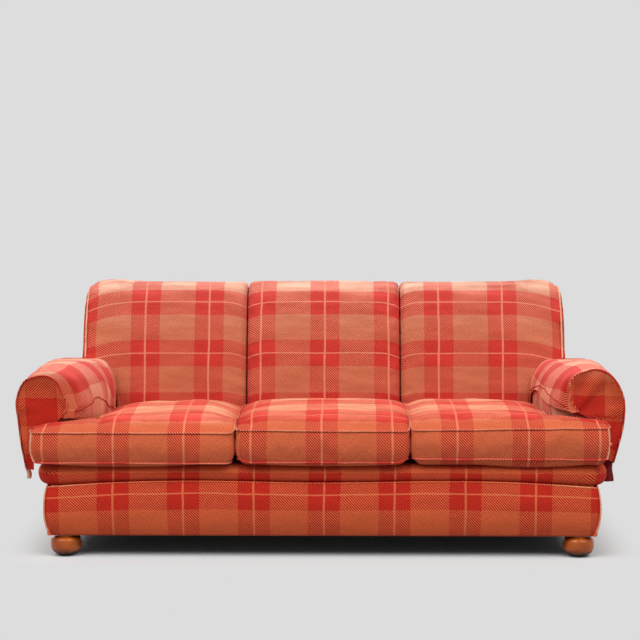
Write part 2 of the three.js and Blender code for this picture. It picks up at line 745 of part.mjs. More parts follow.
// Towards an end of a pad its face draws back and its top draws down to the frame.
function drawnFace(inset) {
  const railFront = UPRIGHT_FRONT + RAKE_RUN;
  const shoulder = BACK_HEIGHT - BACK_SHOULDER_DROP;
  return backFace().map((p) => {
    const ahead = Math.max(0, (railFront - p.x) / (railFront - BACK_PAD_FRONT));
    const above = Math.max(0, (p.y - shoulder) / BACK_SHOULDER_DROP);
    const inFront = Math.min(1, (BACK_REAR - p.x) / (BACK_REAR - railFront));
    return new THREE.Vector2(p.x + inset * Math.min(1, ahead), p.y - inset * above * inFront);
  });
}

// The frame side of a pad: over the top rail, down the webbing, and in front of the lower rail.
function frameSide() {
  const webFront = UPRIGHT_FRONT - WEB_THICKNESS - 2 * CLEAR;
  const lowerRailFront = UPRIGHT_FRONT - RAIL_THICKNESS - CLEAR;
  const railTop = UPRIGHT_TOP + TOP_RAIL_HEIGHT + CLEAR;
  return [
    new THREE.Vector2(FRAME_REAR + RAKE_RUN + CLEAR, UPRIGHT_TOP),
    new THREE.Vector2(FRAME_REAR + RAKE_RUN + CLEAR, railTop),
    new THREE.Vector2(UPRIGHT_FRONT + RAKE_RUN - CLEAR, railTop),
    new THREE.Vector2(webFront + RAKE_RUN, UPRIGHT_TOP),
    new THREE.Vector2(webFront, RAKE_START),
    new THREE.Vector2(lowerRailFront, LOWER_RAIL_BOTTOM + LOWER_RAIL_HEIGHT + CLEAR),
    new THREE.Vector2(lowerRailFront, PLATFORM_TOP + CLEAR),
  ];
}

// A pad between two places, with soft ends.
function padSections(low, high) {
  const stations = [
    [low, BACK_PAD_END],
    [low + BACK_PAD_END * 0.4, BACK_PAD_END * 0.35],
    [low + BACK_PAD_END * 1.6, 0],
    [high - BACK_PAD_END * 1.6, 0],
    [high - BACK_PAD_END * 0.4, BACK_PAD_END * 0.35],
    [high, BACK_PAD_END],
  ];
  return stations.map(([x, inset]) => acrossWidth([...drawnFace(inset), ...frameSide()], x));
}

// The boxed end of the back: it closes the outer pad over the post and the end of the top rail.
function endBorder(sign) {
  const rear = FRAME_REAR + CLEAR + OUTSIDE_BACK_THICKNESS;
  const foot = RAKE_START + CLEAR;
  const outline = [
    ...drawnFace(BACK_PAD_END),
    new THREE.Vector2(rear + RAKE_RUN, UPRIGHT_TOP),
    new THREE.Vector2(rear + rakeAt(foot), foot),
    new THREE.Vector2(UPRIGHT_FRONT, foot),
  ];
  const inner = BACK_FRAME_HALF_WIDTH + CLEAR;
  return skin([
    acrossWidth(outline, sign * inner),
    acrossWidth(outline, sign * BACK_HALF_WIDTH),
  ]);
}

function backPads() {
  const inner = SEAT_JOINT_X - BACK_PAD_GAP / 2;
  add("back_pad_centre", skin(padSections(-inner, inner)), plaid);
  const room = COVER_EASE + COVER_THICKNESS + CLEAR;
  for (const { name, sign } of SIDES) {
    const outer = (BACK_FRAME_HALF_WIDTH + BACK_HALF_WIDTH) / 2;
    const span = [sign * (inner + BACK_PAD_GAP), sign * outer].sort((a, b) => a - b);
    const pad = toSolid(skin(padSections(...span))).add(toSolid(endBorder(sign)));
    const armRoom = toSolid(armBody(sign, FRAME_REAR + CLEAR, RAIL_TOP, room));
    add(`back_pad_${name}`, toGeometry(pad.subtract(armRoom)), plaid);
  }
}

// Outside covers

// A padded panel that bulges between its top and bottom edges.
function borderOutline(base, out) {
  const low = FRAME_BOTTOM;
  const high = PLATFORM_BOTTOM - CLEAR;
  const edge = BORDER_THICKNESS;
  const curve = new THREE.CubicBezierCurve(
    new THREE.Vector2(base + out * (edge - BORDER_BULGE), low),
    new THREE.Vector2(base + out * (edge + BORDER_BULGE), low + RAIL_HEIGHT * 0.3),
    new THREE.Vector2(base + out * (edge + BORDER_BULGE), low + RAIL_HEIGHT * 0.7),
    new THREE.Vector2(base + out * edge, high),
  );
  return [new THREE.Vector2(base, low), ...curve.getPoints(6), new THREE.Vector2(base, high)];
}

function outsideCovers() {
  const front = borderOutline(FRAME_FRONT - CLEAR, -1);
  const frontEnd = FRAME_HALF_WIDTH + CLEAR;
  add(
    "front_border",
    skin([acrossWidth(front, -frontEnd), acrossWidth(front, frontEnd)]),
    plaid,
  );
  for (const { name, sign } of SIDES) add(`side_panel_${name}`, sidePanel(sign), plaid);
  add("outside_back", outsideBack(), plaid);
  add("dust_cover", dustCover(), cambric);
}

// One piece of cloth covers the side of the base and the outside of the arm.
function sidePanel(sign) {
  const base = FRAME_HALF_WIDTH + 2 * CLEAR;
  const outline = borderOutline(base, 1).map((p) => new THREE.Vector2(sign * p.x, p.y));
  const lower = skin([
    acrossDepth(outline, FRAME_FRONT - BORDER_THICKNESS),
    acrossDepth(outline, FRAME_REAR),
  ]);
  const underRoll = ROLL_CENTRE_Z - ROLL_DROP - COVER_THICKNESS;
  const upper = sideBox(
    sign,
    [base, ARM_FRONT + ARM_NOSE, RAIL_TOP - CLEAR],
    [base + BORDER_THICKNESS, FRAME_REAR, underRoll],
  );
  return toGeometry(toSolid(lower).add(toSolid(upper)));
}

function outsideBack() {
  const inner = FRAME_REAR + CLEAR;
  const outer = inner + OUTSIDE_BACK_THICKNESS;
  const top = UPRIGHT_TOP - CLEAR;
  const underRoll = ROLL_CENTRE_Z - ROLL_DROP;
  const lower = boxBetween(
    [-BORDER_HALF_WIDTH, inner, FRAME_BOTTOM],
    [BORDER_HALF_WIDTH, outer, Math.min(RAKE_START, underRoll)],
  );
  const outline = [
    new THREE.Vector2(inner, RAIL_TOP),
    new THREE.Vector2(outer, RAIL_TOP),
    new THREE.Vector2(outer, RAKE_START),
    new THREE.Vector2(outer + rakeAt(top), top),
    new THREE.Vector2(inner + rakeAt(top), top),
    new THREE.Vector2(inner, RAKE_START),
  ];
  const upper = skin([
    acrossWidth(outline, -BACK_FRAME_HALF_WIDTH),
    acrossWidth(outline, BACK_FRAME_HALF_WIDTH),
  ]);
  return toGeometry(toSolid(lower).add(toSolid(upper)));
}

// Black cloth stapled under the frame, with a hole for each foot's neck.
function dustCover() {
  const [sheetX, rear] = [FRAME_HALF_WIDTH, FRAME_REAR];
  const sheet = new THREE.Shape();
  sheet.moveTo(-sheetX, FRAME_FRONT);
  sheet.lineTo(sheetX, FRAME_FRONT);
  sheet.lineTo(sheetX, rear);
  sheet.lineTo(-sheetX, rear);
  sheet.closePath();
  const footX = FRAME_HALF_WIDTH - FOOT_INSET_X;
  const reach = FOOT_INSET_Y - RAIL_THICKNESS;
  for (const { sign } of SIDES) {
    for (const footY of [FRONT_RAIL_INNER + reach, UPRIGHT_FRONT - reach]) {
      const hole = new THREE.Path();
      hole.absarc(sign * footX, footY, FOOT_NECK_RADIUS + CLEAR, 0, 2 * Math.PI);
      sheet.holes.push(hole);
    }
  }
  const cloth = new THREE.ExtrudeGeometry(sheet, {
    depth: DUST_COVER_THICKNESS,
    bevelEnabled: false,
    curveSegments: ROUND_SIDES / 2,
  });
  return cloth.translate(0, 0, FRAME_BOTTOM - CLEAR - DUST_COVER_THICKNESS);
}

seatFrame();
feet();
backFrame();
seatWebs();
platform();
edgeRoll();
seatCushions();
arms();
backPads();
outsideCovers();

export default sofa;
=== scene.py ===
import bpy
import math
from mathutils import Matrix, Vector, noise


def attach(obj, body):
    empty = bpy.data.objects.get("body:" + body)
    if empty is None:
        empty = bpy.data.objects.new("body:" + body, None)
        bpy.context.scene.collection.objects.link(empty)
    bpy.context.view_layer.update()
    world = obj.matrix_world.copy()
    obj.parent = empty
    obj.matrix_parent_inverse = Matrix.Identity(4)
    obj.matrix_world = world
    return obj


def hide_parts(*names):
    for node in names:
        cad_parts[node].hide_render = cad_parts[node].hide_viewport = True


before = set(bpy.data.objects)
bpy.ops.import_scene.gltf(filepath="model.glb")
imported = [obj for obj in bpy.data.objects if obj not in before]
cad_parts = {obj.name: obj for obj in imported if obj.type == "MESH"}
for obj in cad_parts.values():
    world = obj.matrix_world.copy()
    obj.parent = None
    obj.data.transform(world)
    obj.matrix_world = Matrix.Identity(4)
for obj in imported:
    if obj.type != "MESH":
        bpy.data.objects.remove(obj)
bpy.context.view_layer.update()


# Hidden frame: sawn beech rails, posts and corner blocks, glued and stapled together.
# The upholstery covers all of it, so the frame's own solids stay and only get their wood.
def put(tree, kind, inputs=None, **settings):
    made = tree.nodes.new(kind)
    for key, value in settings.items():
        setattr(made, key, value)
    for key, value in (inputs or {}).items():
        if isinstance(value, bpy.types.NodeSocket):
            tree.links.new(value, made.inputs[key])
        else:
            made.inputs[key].default_value = value
    return made


def sum_of(tree, how, first, second=0.0):
    return put(tree, "ShaderNodeMath", {0: first, 1: second}, operation=how).outputs[0]


def blend_of(tree, factor, first, second, how="MIX"):
    mixed = put(tree, "ShaderNodeMix", data_type="RGBA", blend_type=how)
    for place, value in ((0, factor), (6, first), (7, second)):
        if isinstance(value, bpy.types.NodeSocket):
            tree.links.new(value, mixed.inputs[place])
        else:
            mixed.inputs[place].default_value = value
    return mixed.outputs[2]


def dye(red, green, blue):
    def linear(level):
        level /= 255
        return level / 12.92 if level <= 0.04045 else ((level + 0.055) / 1.055) ** 2.4
    return (linear(red), linear(green), linear(blue), 1.0)


def finish_named(name, roughness):
    made = bpy.data.materials.new(name)
    made.use_nodes = True
    shader = made.node_tree.nodes["Principled BSDF"]
    shader.inputs["Roughness"].default_value = roughness
    return made, made.node_tree, shader


def grain(tree, stretch, pale, dark, ring_scale):
    place = put(tree, "ShaderNodeTexCoord").outputs["Object"]
    turned = put(tree, "ShaderNodeMapping", {"Vector": place, "Scale": stretch}).outputs[0]
    rings = put(tree, "ShaderNodeTexWave", {"Vector": turned, "Scale": ring_scale, "Distortion": 5.0,
                "Detail": 3.0, "Detail Scale": 1.6}, wave_type="BANDS").outputs["Fac"]
    fibres = put(tree, "ShaderNodeTexNoise", {"Vector": turned, "Scale": ring_scale * 9,
                 "Detail": 4.0}).outputs["Fac"]
    figure = sum_of(tree, "ADD", sum_of(tree, "MULTIPLY", rings, 0.65),
                    sum_of(tree, "MULTIPLY", fibres, 0.35))
    return blend_of(tree, figure, dark, pale), fibres


def raised(tree, shader, height, strength, distance):
    bump = put(tree, "ShaderNodeBump", {"Strength": strength, "Distance": distance, "Height": height})
    tree.links.new(bump.outputs[0], shader.inputs["Normal"])


beech, tree, shader = finish_named("sawn_beech", 0.7)
colour, fibres = grain(tree, (1.2, 6.0, 6.0), dye(214, 180, 126), dye(172, 130, 82), 4.0)
tree.links.new(colour, shader.inputs["Base Color"])
raised(tree, shader, fibres, 0.3, 0.0006)

webbing, tree, shader = finish_named("elastic_webbing", 0.9)
place = put(tree, "ShaderNodeTexCoord").outputs["Object"]
ribs = put(tree, "ShaderNodeTexWave", {"Vector": place, "Scale": 160.0, "Distortion": 0.4}).outputs["Fac"]
tree.links.new(blend_of(tree, ribs, dye(38, 34, 31), dye(70, 62, 54)), shader.inputs["Base Color"])

for name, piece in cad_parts.items():
    words = set(name.split("_"))
    if "web" in words:
        finish = webbing
    elif words & {"rail", "post", "stile", "block"}:
        finish = beech
    else:
        continue
    piece.data.materials.clear()
    piece.data.materials.append(finish)


# Bun feet: flattened balls turned from hardwood, stained amber and varnished, rubbed dark below.
# Each stands on a black moulded glide, and its tenon goes up into a corner block.
def only(piece):
    bpy.ops.object.select_all(action="DESELECT")
    piece.select_set(True)
    bpy.context.view_layer.objects.active = piece


def turned(name, outline, middle, steps=64):
    bpy.ops.object.select_all(action="DESELECT")
    bpy.ops.mesh.primitive_circle_add(vertices=3, radius=0.001)
    piece = bpy.context.object
    piece.name = name
    mesh = piece.data
    mesh.clear_geometry()
    mesh.from_pydata([(r, 0, z) for r, z in outline], [(i, i + 1) for i in range(len(outline) - 1)], [])
    bpy.ops.object.mode_set(mode="EDIT")
    bpy.ops.mesh.select_all(action="SELECT")
    bpy.ops.mesh.spin(steps=steps, angle=2 * math.pi, center=(0, 0, 0), axis=(0, 0, 1))
    bpy.ops.mesh.select_all(action="SELECT")
    bpy.ops.mesh.remove_doubles(threshold=0.00002)
    bpy.ops.mesh.normals_make_consistent(inside=False)
    bpy.ops.object.mode_set(mode="OBJECT")
    bpy.ops.object.shade_smooth_by_angle(angle=math.radians(50))
    mesh.transform(Matrix.Translation(middle))
    return piece


def finished(piece, material):
    piece.data.materials.clear()
    piece.data.materials.append(material)
    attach(piece, "root")


def curve_through(points, count):
    spots = []
    for i in range(len(points) - 1):
        before = points[max(0, i - 1)]
        start, end = points[i], points[i + 1]
        after = points[min(len(points) - 1, i + 2)]
        for j in range(count):
            t = j / count
            spots.append(tuple(
                0.5 * (2 * b + (c - a) * t + (2 * a - 5 * b + 4 * c - d) * t * t
                       + (3 * b - a - 3 * c + d) * t ** 3)
                for a, b, c, d in zip(before, start, end, after)))
    spots.append(points[-1])
    return spots


def speckled(name, roughness, scale, detail, dark, pale):
    made, tree, shader = finish_named(name, roughness)
    place = put(tree, "ShaderNodeTexCoord").outputs["Object"]
    fleck = put(tree, "ShaderNodeTexNoise", {"Vector": place, "Scale": scale,
                "Detail": detail}).outputs["Fac"]
    tree.links.new(blend_of(tree, fleck, dark, pale), shader.inputs["Base Color"])
    return made, tree, shader, fleck


foot_wood, tree, shader = finish_named("varnished_foot", 0.3)
colour, fibres = grain(tree, (3.0, 3.0, 14.0), dye(184, 88, 14), dye(150, 64, 8), 1.4)
place = put(tree, "ShaderNodeTexCoord").outputs["Object"]
height = put(tree, "ShaderNodeSeparateXYZ", {0: place}).outputs[2]
scuff = put(tree, "ShaderNodeTexNoise", {"Vector": place, "Scale": 70.0, "Detail": 5.0}).outputs["Fac"]
low = put(tree, "ShaderNodeMapRange", {"Value": sum_of(tree, "ADD", height,
          sum_of(tree, "MULTIPLY", scuff, 0.016)), "From Min": 0.020, "From Max": 0.034}).outputs[0]
tree.links.new(blend_of(tree, low, dye(38, 24, 14), colour), shader.inputs["Base Color"])
rough = put(tree, "ShaderNodeMapRange", {"Value": low, "To Min": 0.75, "To Max": 0.3}).outputs[0]
tree.links.new(rough, shader.inputs["Roughness"])
shader.inputs["Coat Weight"].default_value = 0.25
shader.inputs["Coat Roughness"].default_value = 0.12
shader.inputs["Specular IOR Level"].default_value = 0.3
raised(tree, shader, fibres, 0.15, 0.0005)

glide_plastic = speckled("black_glide", 0.55, 90.0, 4.0, dye(20, 18, 17), dye(58, 53, 48))[0]

bun = [(0.0, 0.0063), (0.026, 0.0063), (0.036, 0.0078), (0.0455, 0.0145), (0.0520, 0.0265), (0.0536, 0.0400),
       (0.0528, 0.0530), (0.0488, 0.0622), (0.0410, 0.0672), (0.0362, 0.0690), (0.0360, 0.0796)]
tenon = [(0.0130, 0.0798), (0.0130, 0.1170), (0.0115, 0.1196), (0.0, 0.1197)]
tread = [(0.0, 0.0), (0.0225, 0.0), (0.0252, 0.0012), (0.0260, 0.0030), (0.0250, 0.0052), (0.0230, 0.0060),
         (0.0, 0.0060)]
for side, across in (("left", -0.886), ("right", 0.886)):
    for end, depth in (("front", -0.366), ("rear", 0.286)):
        spot = Vector((across, depth, 0))
        foot = turned(f"bun_foot_{end}_{side}", bun[:2] + curve_through(bun[1:], 5) + tenon, spot)
        finished(foot, foot_wood)
        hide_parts(f"foot_{end}_{side}")
        glide = turned(f"foot_glide_{end}_{side}", tread, spot, steps=40)
        finished(glide, glide_plastic)
        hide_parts(f"glide_{end}_{side}")


# Dust cover: thin black non-woven cloth stapled flat under the frame, cut round each foot.
# Its solid is right as it is, so it only gets its felted black cloth.
dust_cloth, tree, shader, felt = speckled("black_cambric", 0.95, 420.0, 5.0, dye(14, 13, 13), dye(42, 39, 37))
raised(tree, shader, felt, 0.4, 0.0005)
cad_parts["dust_cover"].data.materials.clear()
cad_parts["dust_cover"].data.materials.append(dust_cloth)


# Front border, side panels and outside back: plaid twill pulled over wadding on the outside of
# the frame, tacked below, and finished with piping at the corners and along the top edges.
def woven(name, cols, rows, place, cloth):
    bpy.ops.object.select_all(action="DESELECT")
    bpy.ops.mesh.primitive_grid_add(x_subdivisions=cols, y_subdivisions=rows, size=2)
    piece = bpy.context.object
    piece.name = name
    mesh = piece.data
    share = [((v.co.x + 1) / 2, (v.co.y + 1) / 2) for v in mesh.vertices]
    layer = mesh.uv_layers[0]
    layer.name = "cloth"
    for loop in mesh.loops:
        layer.data[loop.index].uv = cloth(*share[loop.vertex_index])
    for vertex, (u, v) in zip(mesh.vertices, share):
        vertex.co = place(u, v)
    return piece


def sewn(name, *parts, gap=0.0004):
    bpy.ops.object.select_all(action="DESELECT")
    for part in parts:
        part.select_set(True)
    bpy.context.view_layer.objects.active = parts[0]
    if len(parts) > 1:
        bpy.ops.object.join()
    piece = bpy.context.object
    piece.name = name
    bpy.ops.object.mode_set(mode="EDIT")
    bpy.ops.mesh.select_all(action="SELECT")
    bpy.ops.mesh.remove_doubles(threshold=gap)
    bpy.ops.mesh.dissolve_degenerate(threshold=0.00005)
    bpy.ops.mesh.select_all(action="SELECT")
    bpy.ops.mesh.normals_make_consistent(inside=False)
    bpy.ops.object.mode_set(mode="OBJECT")
    bpy.ops.object.shade_smooth_by_angle(angle=math.radians(60))
    return piece


def backed(piece, thickness, reverse=0):
    only(piece)
    wall = piece.modifiers.new("thickness", "SOLIDIFY")
    wall.thickness = thickness
    wall.offset = -1.0
    wall.material_offset = reverse
    bpy.ops.object.modifier_apply(modifier=wall.name)


def softened(piece, degrees):
    only(piece)
    bpy.ops.object.shade_smooth_by_angle(angle=math.radians(degrees))


def facing(piece, outward):
    mesh = piece.data
    total = Vector()
    for face in mesh.polygons:
        total += face.normal * face.area
    if total.dot(Vector(outward)) < 0:
        mesh.flip_normals()


# The check's half repeats across and along the cloth, the halves of its red bands, and its twill rib.
WARP_HALF, WEFT_HALF, RED_WARP, RED_WEFT, RIB = 0.1205, 0.0990, 0.0550, 0.0500, 0.0092


def plaid_weave():
    group = bpy.data.node_groups.new("plaid_weave", "ShaderNodeTree")
    for way, name, kind in (("INPUT", "Cloth", "Vector"), ("INPUT", "Fade and light", "Float"),
                            ("INPUT", "Line shift", "Float"), ("INPUT", "Unfaded", "Float"),
                            ("INPUT", "Lines", "Float"), ("INPUT", "Browned", "Float"),
                            ("OUTPUT", "Color", "Color"), ("OUTPUT", "Height", "Float")):
        group.interface.new_socket(name, in_out=way, socket_type=f"NodeSocket{kind}")
    given = group.nodes.new("NodeGroupInput")
    result = group.nodes.new("NodeGroupOutput")
    cloth, fade_and_light, line_shift, unfaded, lines, browned = given.outputs[:6]
    pull = put(group, "ShaderNodeTexNoise", {"Vector": cloth, "Scale": 5.0, "Detail": 2.0})
    shift = put(group, "ShaderNodeVectorMath", {0: pull.outputs["Color"], 1: (0.5, 0.5, 0.5)},
                operation="SUBTRACT").outputs[0]
    shift = put(group, "ShaderNodeVectorMath", {0: shift, "Scale": 0.008}, operation="SCALE").outputs[0]
    drawn = put(group, "ShaderNodeVectorMath", {0: cloth, 1: shift}, operation="ADD").outputs[0]
    across, along, _ = put(group, "ShaderNodeSeparateXYZ", {0: drawn}).outputs
    warp_gap = sum_of(group, "PINGPONG", across, WARP_HALF)
    weft_gap = sum_of(group, "PINGPONG", along, WEFT_HALF)
    frayed = put(group, "ShaderNodeTexNoise", {"Vector": cloth, "Scale": 420.0, "Detail": 1.0}).outputs["Fac"]
    frayed = sum_of(group, "MULTIPLY", sum_of(group, "SUBTRACT", frayed, 0.5), 0.005)
    red_warp = sum_of(group, "LESS_THAN", sum_of(group, "ADD", warp_gap, frayed), RED_WARP)
    red_weft = sum_of(group, "LESS_THAN", sum_of(group, "ADD", weft_gap, frayed), RED_WEFT)
    share = sum_of(group, "MULTIPLY", sum_of(group, "ADD", red_warp, red_weft), 0.5)
    mixed = sum_of(group, "MULTIPLY", share, sum_of(group, "SUBTRACT", 1.0, share))
    share = sum_of(group, "ADD", share, sum_of(group, "MULTIPLY", mixed, 0.40))
    rib = sum_of(group, "FRACT", sum_of(group, "MULTIPLY", sum_of(group, "ADD", across, along), 1 / RIB))
    red = put(group, "ShaderNodeMapRange", {"Value": sum_of(group, "SUBTRACT", share, rib),
              "From Min": -0.07, "From Max": 0.07}).outputs[0]
    stretched = put(group, "ShaderNodeMapping", {"Vector": cloth, "Scale": (420.0, 300.0, 1.0)}).outputs[0]
    yarn = put(group, "ShaderNodeTexNoise", {"Vector": stretched, "Scale": 1.0, "Detail": 3.0,
               "Roughness": 0.75}).outputs["Fac"]
    fleck = put(group, "ShaderNodeMapRange", {"Value": yarn, "From Min": 0.32, "From Max": 0.68}).outputs[0]
    streaked = put(group, "ShaderNodeMapping", {"Vector": cloth, "Scale": (300.0, 110.0, 1.0)}).outputs[0]
    streak = put(group, "ShaderNodeTexNoise", {"Vector": streaked, "Scale": 1.0,
                 "Detail": 1.0}).outputs["Fac"]
    streak = put(group, "ShaderNodeMapRange", {"Value": streak, "From Min": 0.34,
                 "From Max": 0.66}).outputs[0]
    fleck = sum_of(group, "ADD", sum_of(group, "MULTIPLY", fleck, 0.7),
                   sum_of(group, "MULTIPLY", streak, 0.3))
    pale_spread = put(group, "ShaderNodeMapping", {"Vector": cloth, "Scale": (5.0, 24.0, 1.0)}).outputs[0]
    patchy = put(group, "ShaderNodeTexNoise", {"Vector": pale_spread, "Scale": 1.0, "Detail": 4.0}).outputs["Fac"]
    # Painted paleness: this share pulls the yarns toward pale colours, partly faded cloth and partly a
    # painted highlight standing in for the light on the tops.
    fade_light_share = sum_of(group, "MULTIPLY", fade_and_light, put(group, "ShaderNodeMapRange", {"Value": patchy,
                  "From Min": 0.3, "From Max": 0.7, "To Min": 0.22, "To Max": 0.64}).outputs[0])
    fade_light_share = put(group, "ShaderNodeClamp", {0: fade_light_share}).outputs[0]
    tan_yarn = blend_of(group, fleck, dye(188, 84, 54), dye(242, 144, 107))
    tan_yarn = blend_of(group, sum_of(group, "MULTIPLY", mixed, 1.5), tan_yarn, dye(242, 156, 122))
    red_yarn = blend_of(group, fleck, dye(166, 29, 24), dye(216, 62, 49))
    red_yarn = blend_of(group, sum_of(group, "MULTIPLY", mixed, 1.4), red_yarn, dye(162, 24, 20))
    tan_yarn = blend_of(group, browned, tan_yarn, (0.78, 0.75, 0.64, 1.0), "MULTIPLY")
    woven_in = blend_of(group, red, blend_of(group, fade_light_share, tan_yarn, dye(242, 190, 166)),
                        blend_of(group, fade_light_share, red_yarn, dye(228, 90, 85)))
    pale_lines = []
    for run, half, width in ((across, WARP_HALF, 0.0036), (along, WEFT_HALF, 0.0023)):
        moved = sum_of(group, "ADD", sum_of(group, "MULTIPLY", line_shift, half), run)
        gap = sum_of(group, "PINGPONG", moved, half)
        pale_lines.append(sum_of(group, "LESS_THAN", sum_of(group, "ADD", gap, frayed), width))
    line = sum_of(group, "MAXIMUM", *pale_lines)
    lined = blend_of(group, sum_of(group, "MULTIPLY", line, lines), woven_in, dye(240, 164, 130))
    cast = put(group, "ShaderNodeMapRange", {"Value": patchy, "From Min": 0.25, "From Max": 0.75,
               "To Min": 0.90, "To Max": 1.08}).outputs[0]
    deep = blend_of(group, unfaded, lined, (1.0, 0.65, 0.43, 1.0), "MULTIPLY")
    toned = blend_of(group, 1.0, deep, put(group, "ShaderNodeCombineColor",
                     {0: cast, 1: cast, 2: cast}).outputs[0], "MULTIPLY")
    group.links.new(toned, result.inputs["Color"])
    ridge = sum_of(group, "SUBTRACT", 1.0, sum_of(group, "ABSOLUTE", sum_of(group, "SUBTRACT",
                   sum_of(group, "MULTIPLY", rib, 2.0), 1.0)))
    high = sum_of(group, "ADD", sum_of(group, "MULTIPLY", ridge, 0.6), sum_of(group, "MULTIPLY", yarn, 0.8))
    group.links.new(high, result.inputs["Height"])
    return group


check_weave = plaid_weave()


def plaid_cloth(name, fade_and_light_all=0.0, line_shift=0.0, unfaded=0.0, lines=0.55, browned=0.0):
    made, tree, shader = finish_named(name, 0.92)
    shader.inputs["Sheen Weight"].default_value = 0.03
    shader.inputs["Sheen Roughness"].default_value = 0.5
    shader.inputs["Specular IOR Level"].default_value = 0.2
    cloth = put(tree, "ShaderNodeUVMap", uv_map="cloth").outputs[0]
    # The per-vertex share plus the material's own share paints the cloth paler: partly faded cloth, partly
    # painted light.
    use = put(tree, "ShaderNodeAttribute", attribute_name="fade_and_light").outputs["Fac"]
    fade_and_light = sum_of(tree, "ADD", use, fade_and_light_all)
    used = put(tree, "ShaderNodeGroup", node_tree=check_weave)
    tree.links.new(cloth, used.inputs["Cloth"])
    tree.links.new(fade_and_light, used.inputs["Fade and light"])
    for key, value in (("Line shift", line_shift), ("Unfaded", unfaded), ("Lines", lines),
                       ("Browned", browned)):
        used.inputs[key].default_value = value
    tree.links.new(used.outputs["Color"], shader.inputs["Base Color"])
    raised(tree, shader, used.outputs["Height"], 0.7, 0.0013)
    return made


sofa_cloth = plaid_cloth("sofa_plaid", unfaded=1.0)


def bezier(points, t):
    left = 1 - t
    weights = (left ** 3, 3 * left * left * t, 3 * left * t * t, t ** 3)
    return sum(w * p for w, p in zip(weights, points))


BORDER_LOW, BORDER_HIGH, BORDER_ARCH, BORDER_HALF = 0.0760, 0.2450, 0.0260, 0.9435


def arched(x):
    return max(0.0, 1 - abs(x / 0.93) ** 3) * (1 - 0.44 * math.exp(-(x / 0.38) ** 2))


def border_out(t):
    return bezier((0.004, 0.026, 0.026, 0.0135), t)


def wander(x, y, z, size, amount):
    return amount * noise.noise(Vector((x, y, z)) / size)


def border_front(u, v):
    x = -BORDER_HALF + 2 * BORDER_HALF * u
    z = BORDER_LOW + (BORDER_HIGH + BORDER_ARCH * arched(x) - BORDER_LOW) * v
    end = min(1.0, (BORDER_HALF - abs(x)) / 0.03)
    ease = math.sqrt(max(0.0, 1 - (1 - end) ** 2))
    lump = wander(x, 3.0, z, 0.16, 0.0022) * math.sin(math.pi * v)
    tuck = 0.006 * (1 - v) ** 6
    return (x + math.copysign(0.004 * math.sin(math.pi * v), x) * (1 - end),
            -0.4103 - border_out(v) * (0.72 + 0.28 * ease) - lump + tuck, z)


BORDER_FOLD = 0.056


def border_fold(u, v):
    x, y, z = border_front(u, 1.0)
    return (x, y + 0.004 + BORDER_FOLD * v, z - 0.0035)


border = woven("front_border_cover", 260, 26, border_front,
               lambda u, v: (-BORDER_HALF + 2 * BORDER_HALF * u - 0.008, 0.1708 * v - 0.136))
facing(border, (0, -1, 0))
backed(border, 0.006)
fold = woven("border_fold", 130, 2, border_fold,
             lambda u, v: (-BORDER_HALF + 2 * BORDER_HALF * u - 0.008, 0.0348 + BORDER_FOLD * v))
facing(fold, (0, 0, 1))
backed(fold, 0.002)
border = sewn("front_border_cover", border, fold, gap=0.00001)
softened(border, 50)
finished(border, sofa_cloth)
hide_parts("front_border")

for side, sign in (("left", -1), ("right", 1)):
    def base_side(u, v):
        y = -0.4215 + 0.771 * u
        z = BORDER_LOW + (BORDER_HIGH - BORDER_LOW) * v
        lump = wander(5.0 * sign, y, z, 0.16, 0.0022) * math.sin(math.pi * v)
        return (sign * (0.9306 + border_out(v) + lump), y, z)

    def outside_arm(u, v):
        y = -0.3040 + 0.6535 * u
        z = BORDER_HIGH + 0.157 * v
        lump = wander(7.0 * sign, y, z, 0.2, 0.003) * math.sin(math.pi * u)
        return (sign * (0.9441 + 0.004 * math.sin(math.pi * v) + lump * math.sin(math.pi * v)), y, z)

    lower = woven("base_side", 100, 24, base_side,
                  lambda u, v: (0.771 * u - 0.06, -0.142 + 0.1708 * v + 0.006))
    upper = woven("outside_arm", 80, 20, outside_arm,
                  lambda u, v: (0.6535 * u + 0.058, 0.0288 + 0.151 * v))
    for part in (lower, upper):
        facing(part, (sign, 0, 0))
        backed(part, 0.006)
    panel = sewn(f"side_cover_{side}", lower, upper, gap=0.00001)
    finished(panel, sofa_cloth)
    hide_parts(f"side_panel_{side}")


OUTSIDE_REAR, LEAN_FOOT, LEAN_HEIGHT, LEAN = 0.3593, 0.4004, 0.4196, 0.08


def back_rear(z):
    return OUTSIDE_REAR + max(0.0, (z - LEAN_FOOT) / LEAN_HEIGHT) * LEAN


def outside_low(u, v):
    x = -0.944 + 1.888 * u
    z = BORDER_LOW + (0.400 - BORDER_LOW) * v
    lump = wander(x, 11.0, z, 0.3, 0.003) * math.sin(math.pi * u) * math.sin(math.pi * v)
    return (x, OUTSIDE_REAR + lump - 0.004 * (1 - v) ** 6, z)


def outside_high(u, v):
    x = -0.8895 + 1.779 * u
    z = 0.401 + 0.418 * v
    lump = wander(x, 13.0, z, 0.35, 0.004) * math.sin(math.pi * u) * math.sin(math.pi * v)
    hollow = 0.003 * math.sin(math.pi * u) ** 0.5 * math.sin(math.pi * v)
    return (x, back_rear(z) + lump - hollow, z)


low = woven("outside_back_low", 200, 34, outside_low, lambda u, v: (0.008 - 1.888 * u, 0.320 * v - 0.142))
high = woven("outside_back_high", 200, 46, outside_high, lambda u, v: (0.0625 - 1.779 * u, 0.179 + 0.426 * v))
for part in (low, high):
    facing(part, (0, 1, 0))
    backed(part, 0.006)
outside = sewn("outside_back_cover", low, high, gap=0.00001)
finished(outside, sofa_cloth)
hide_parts("outside_back")

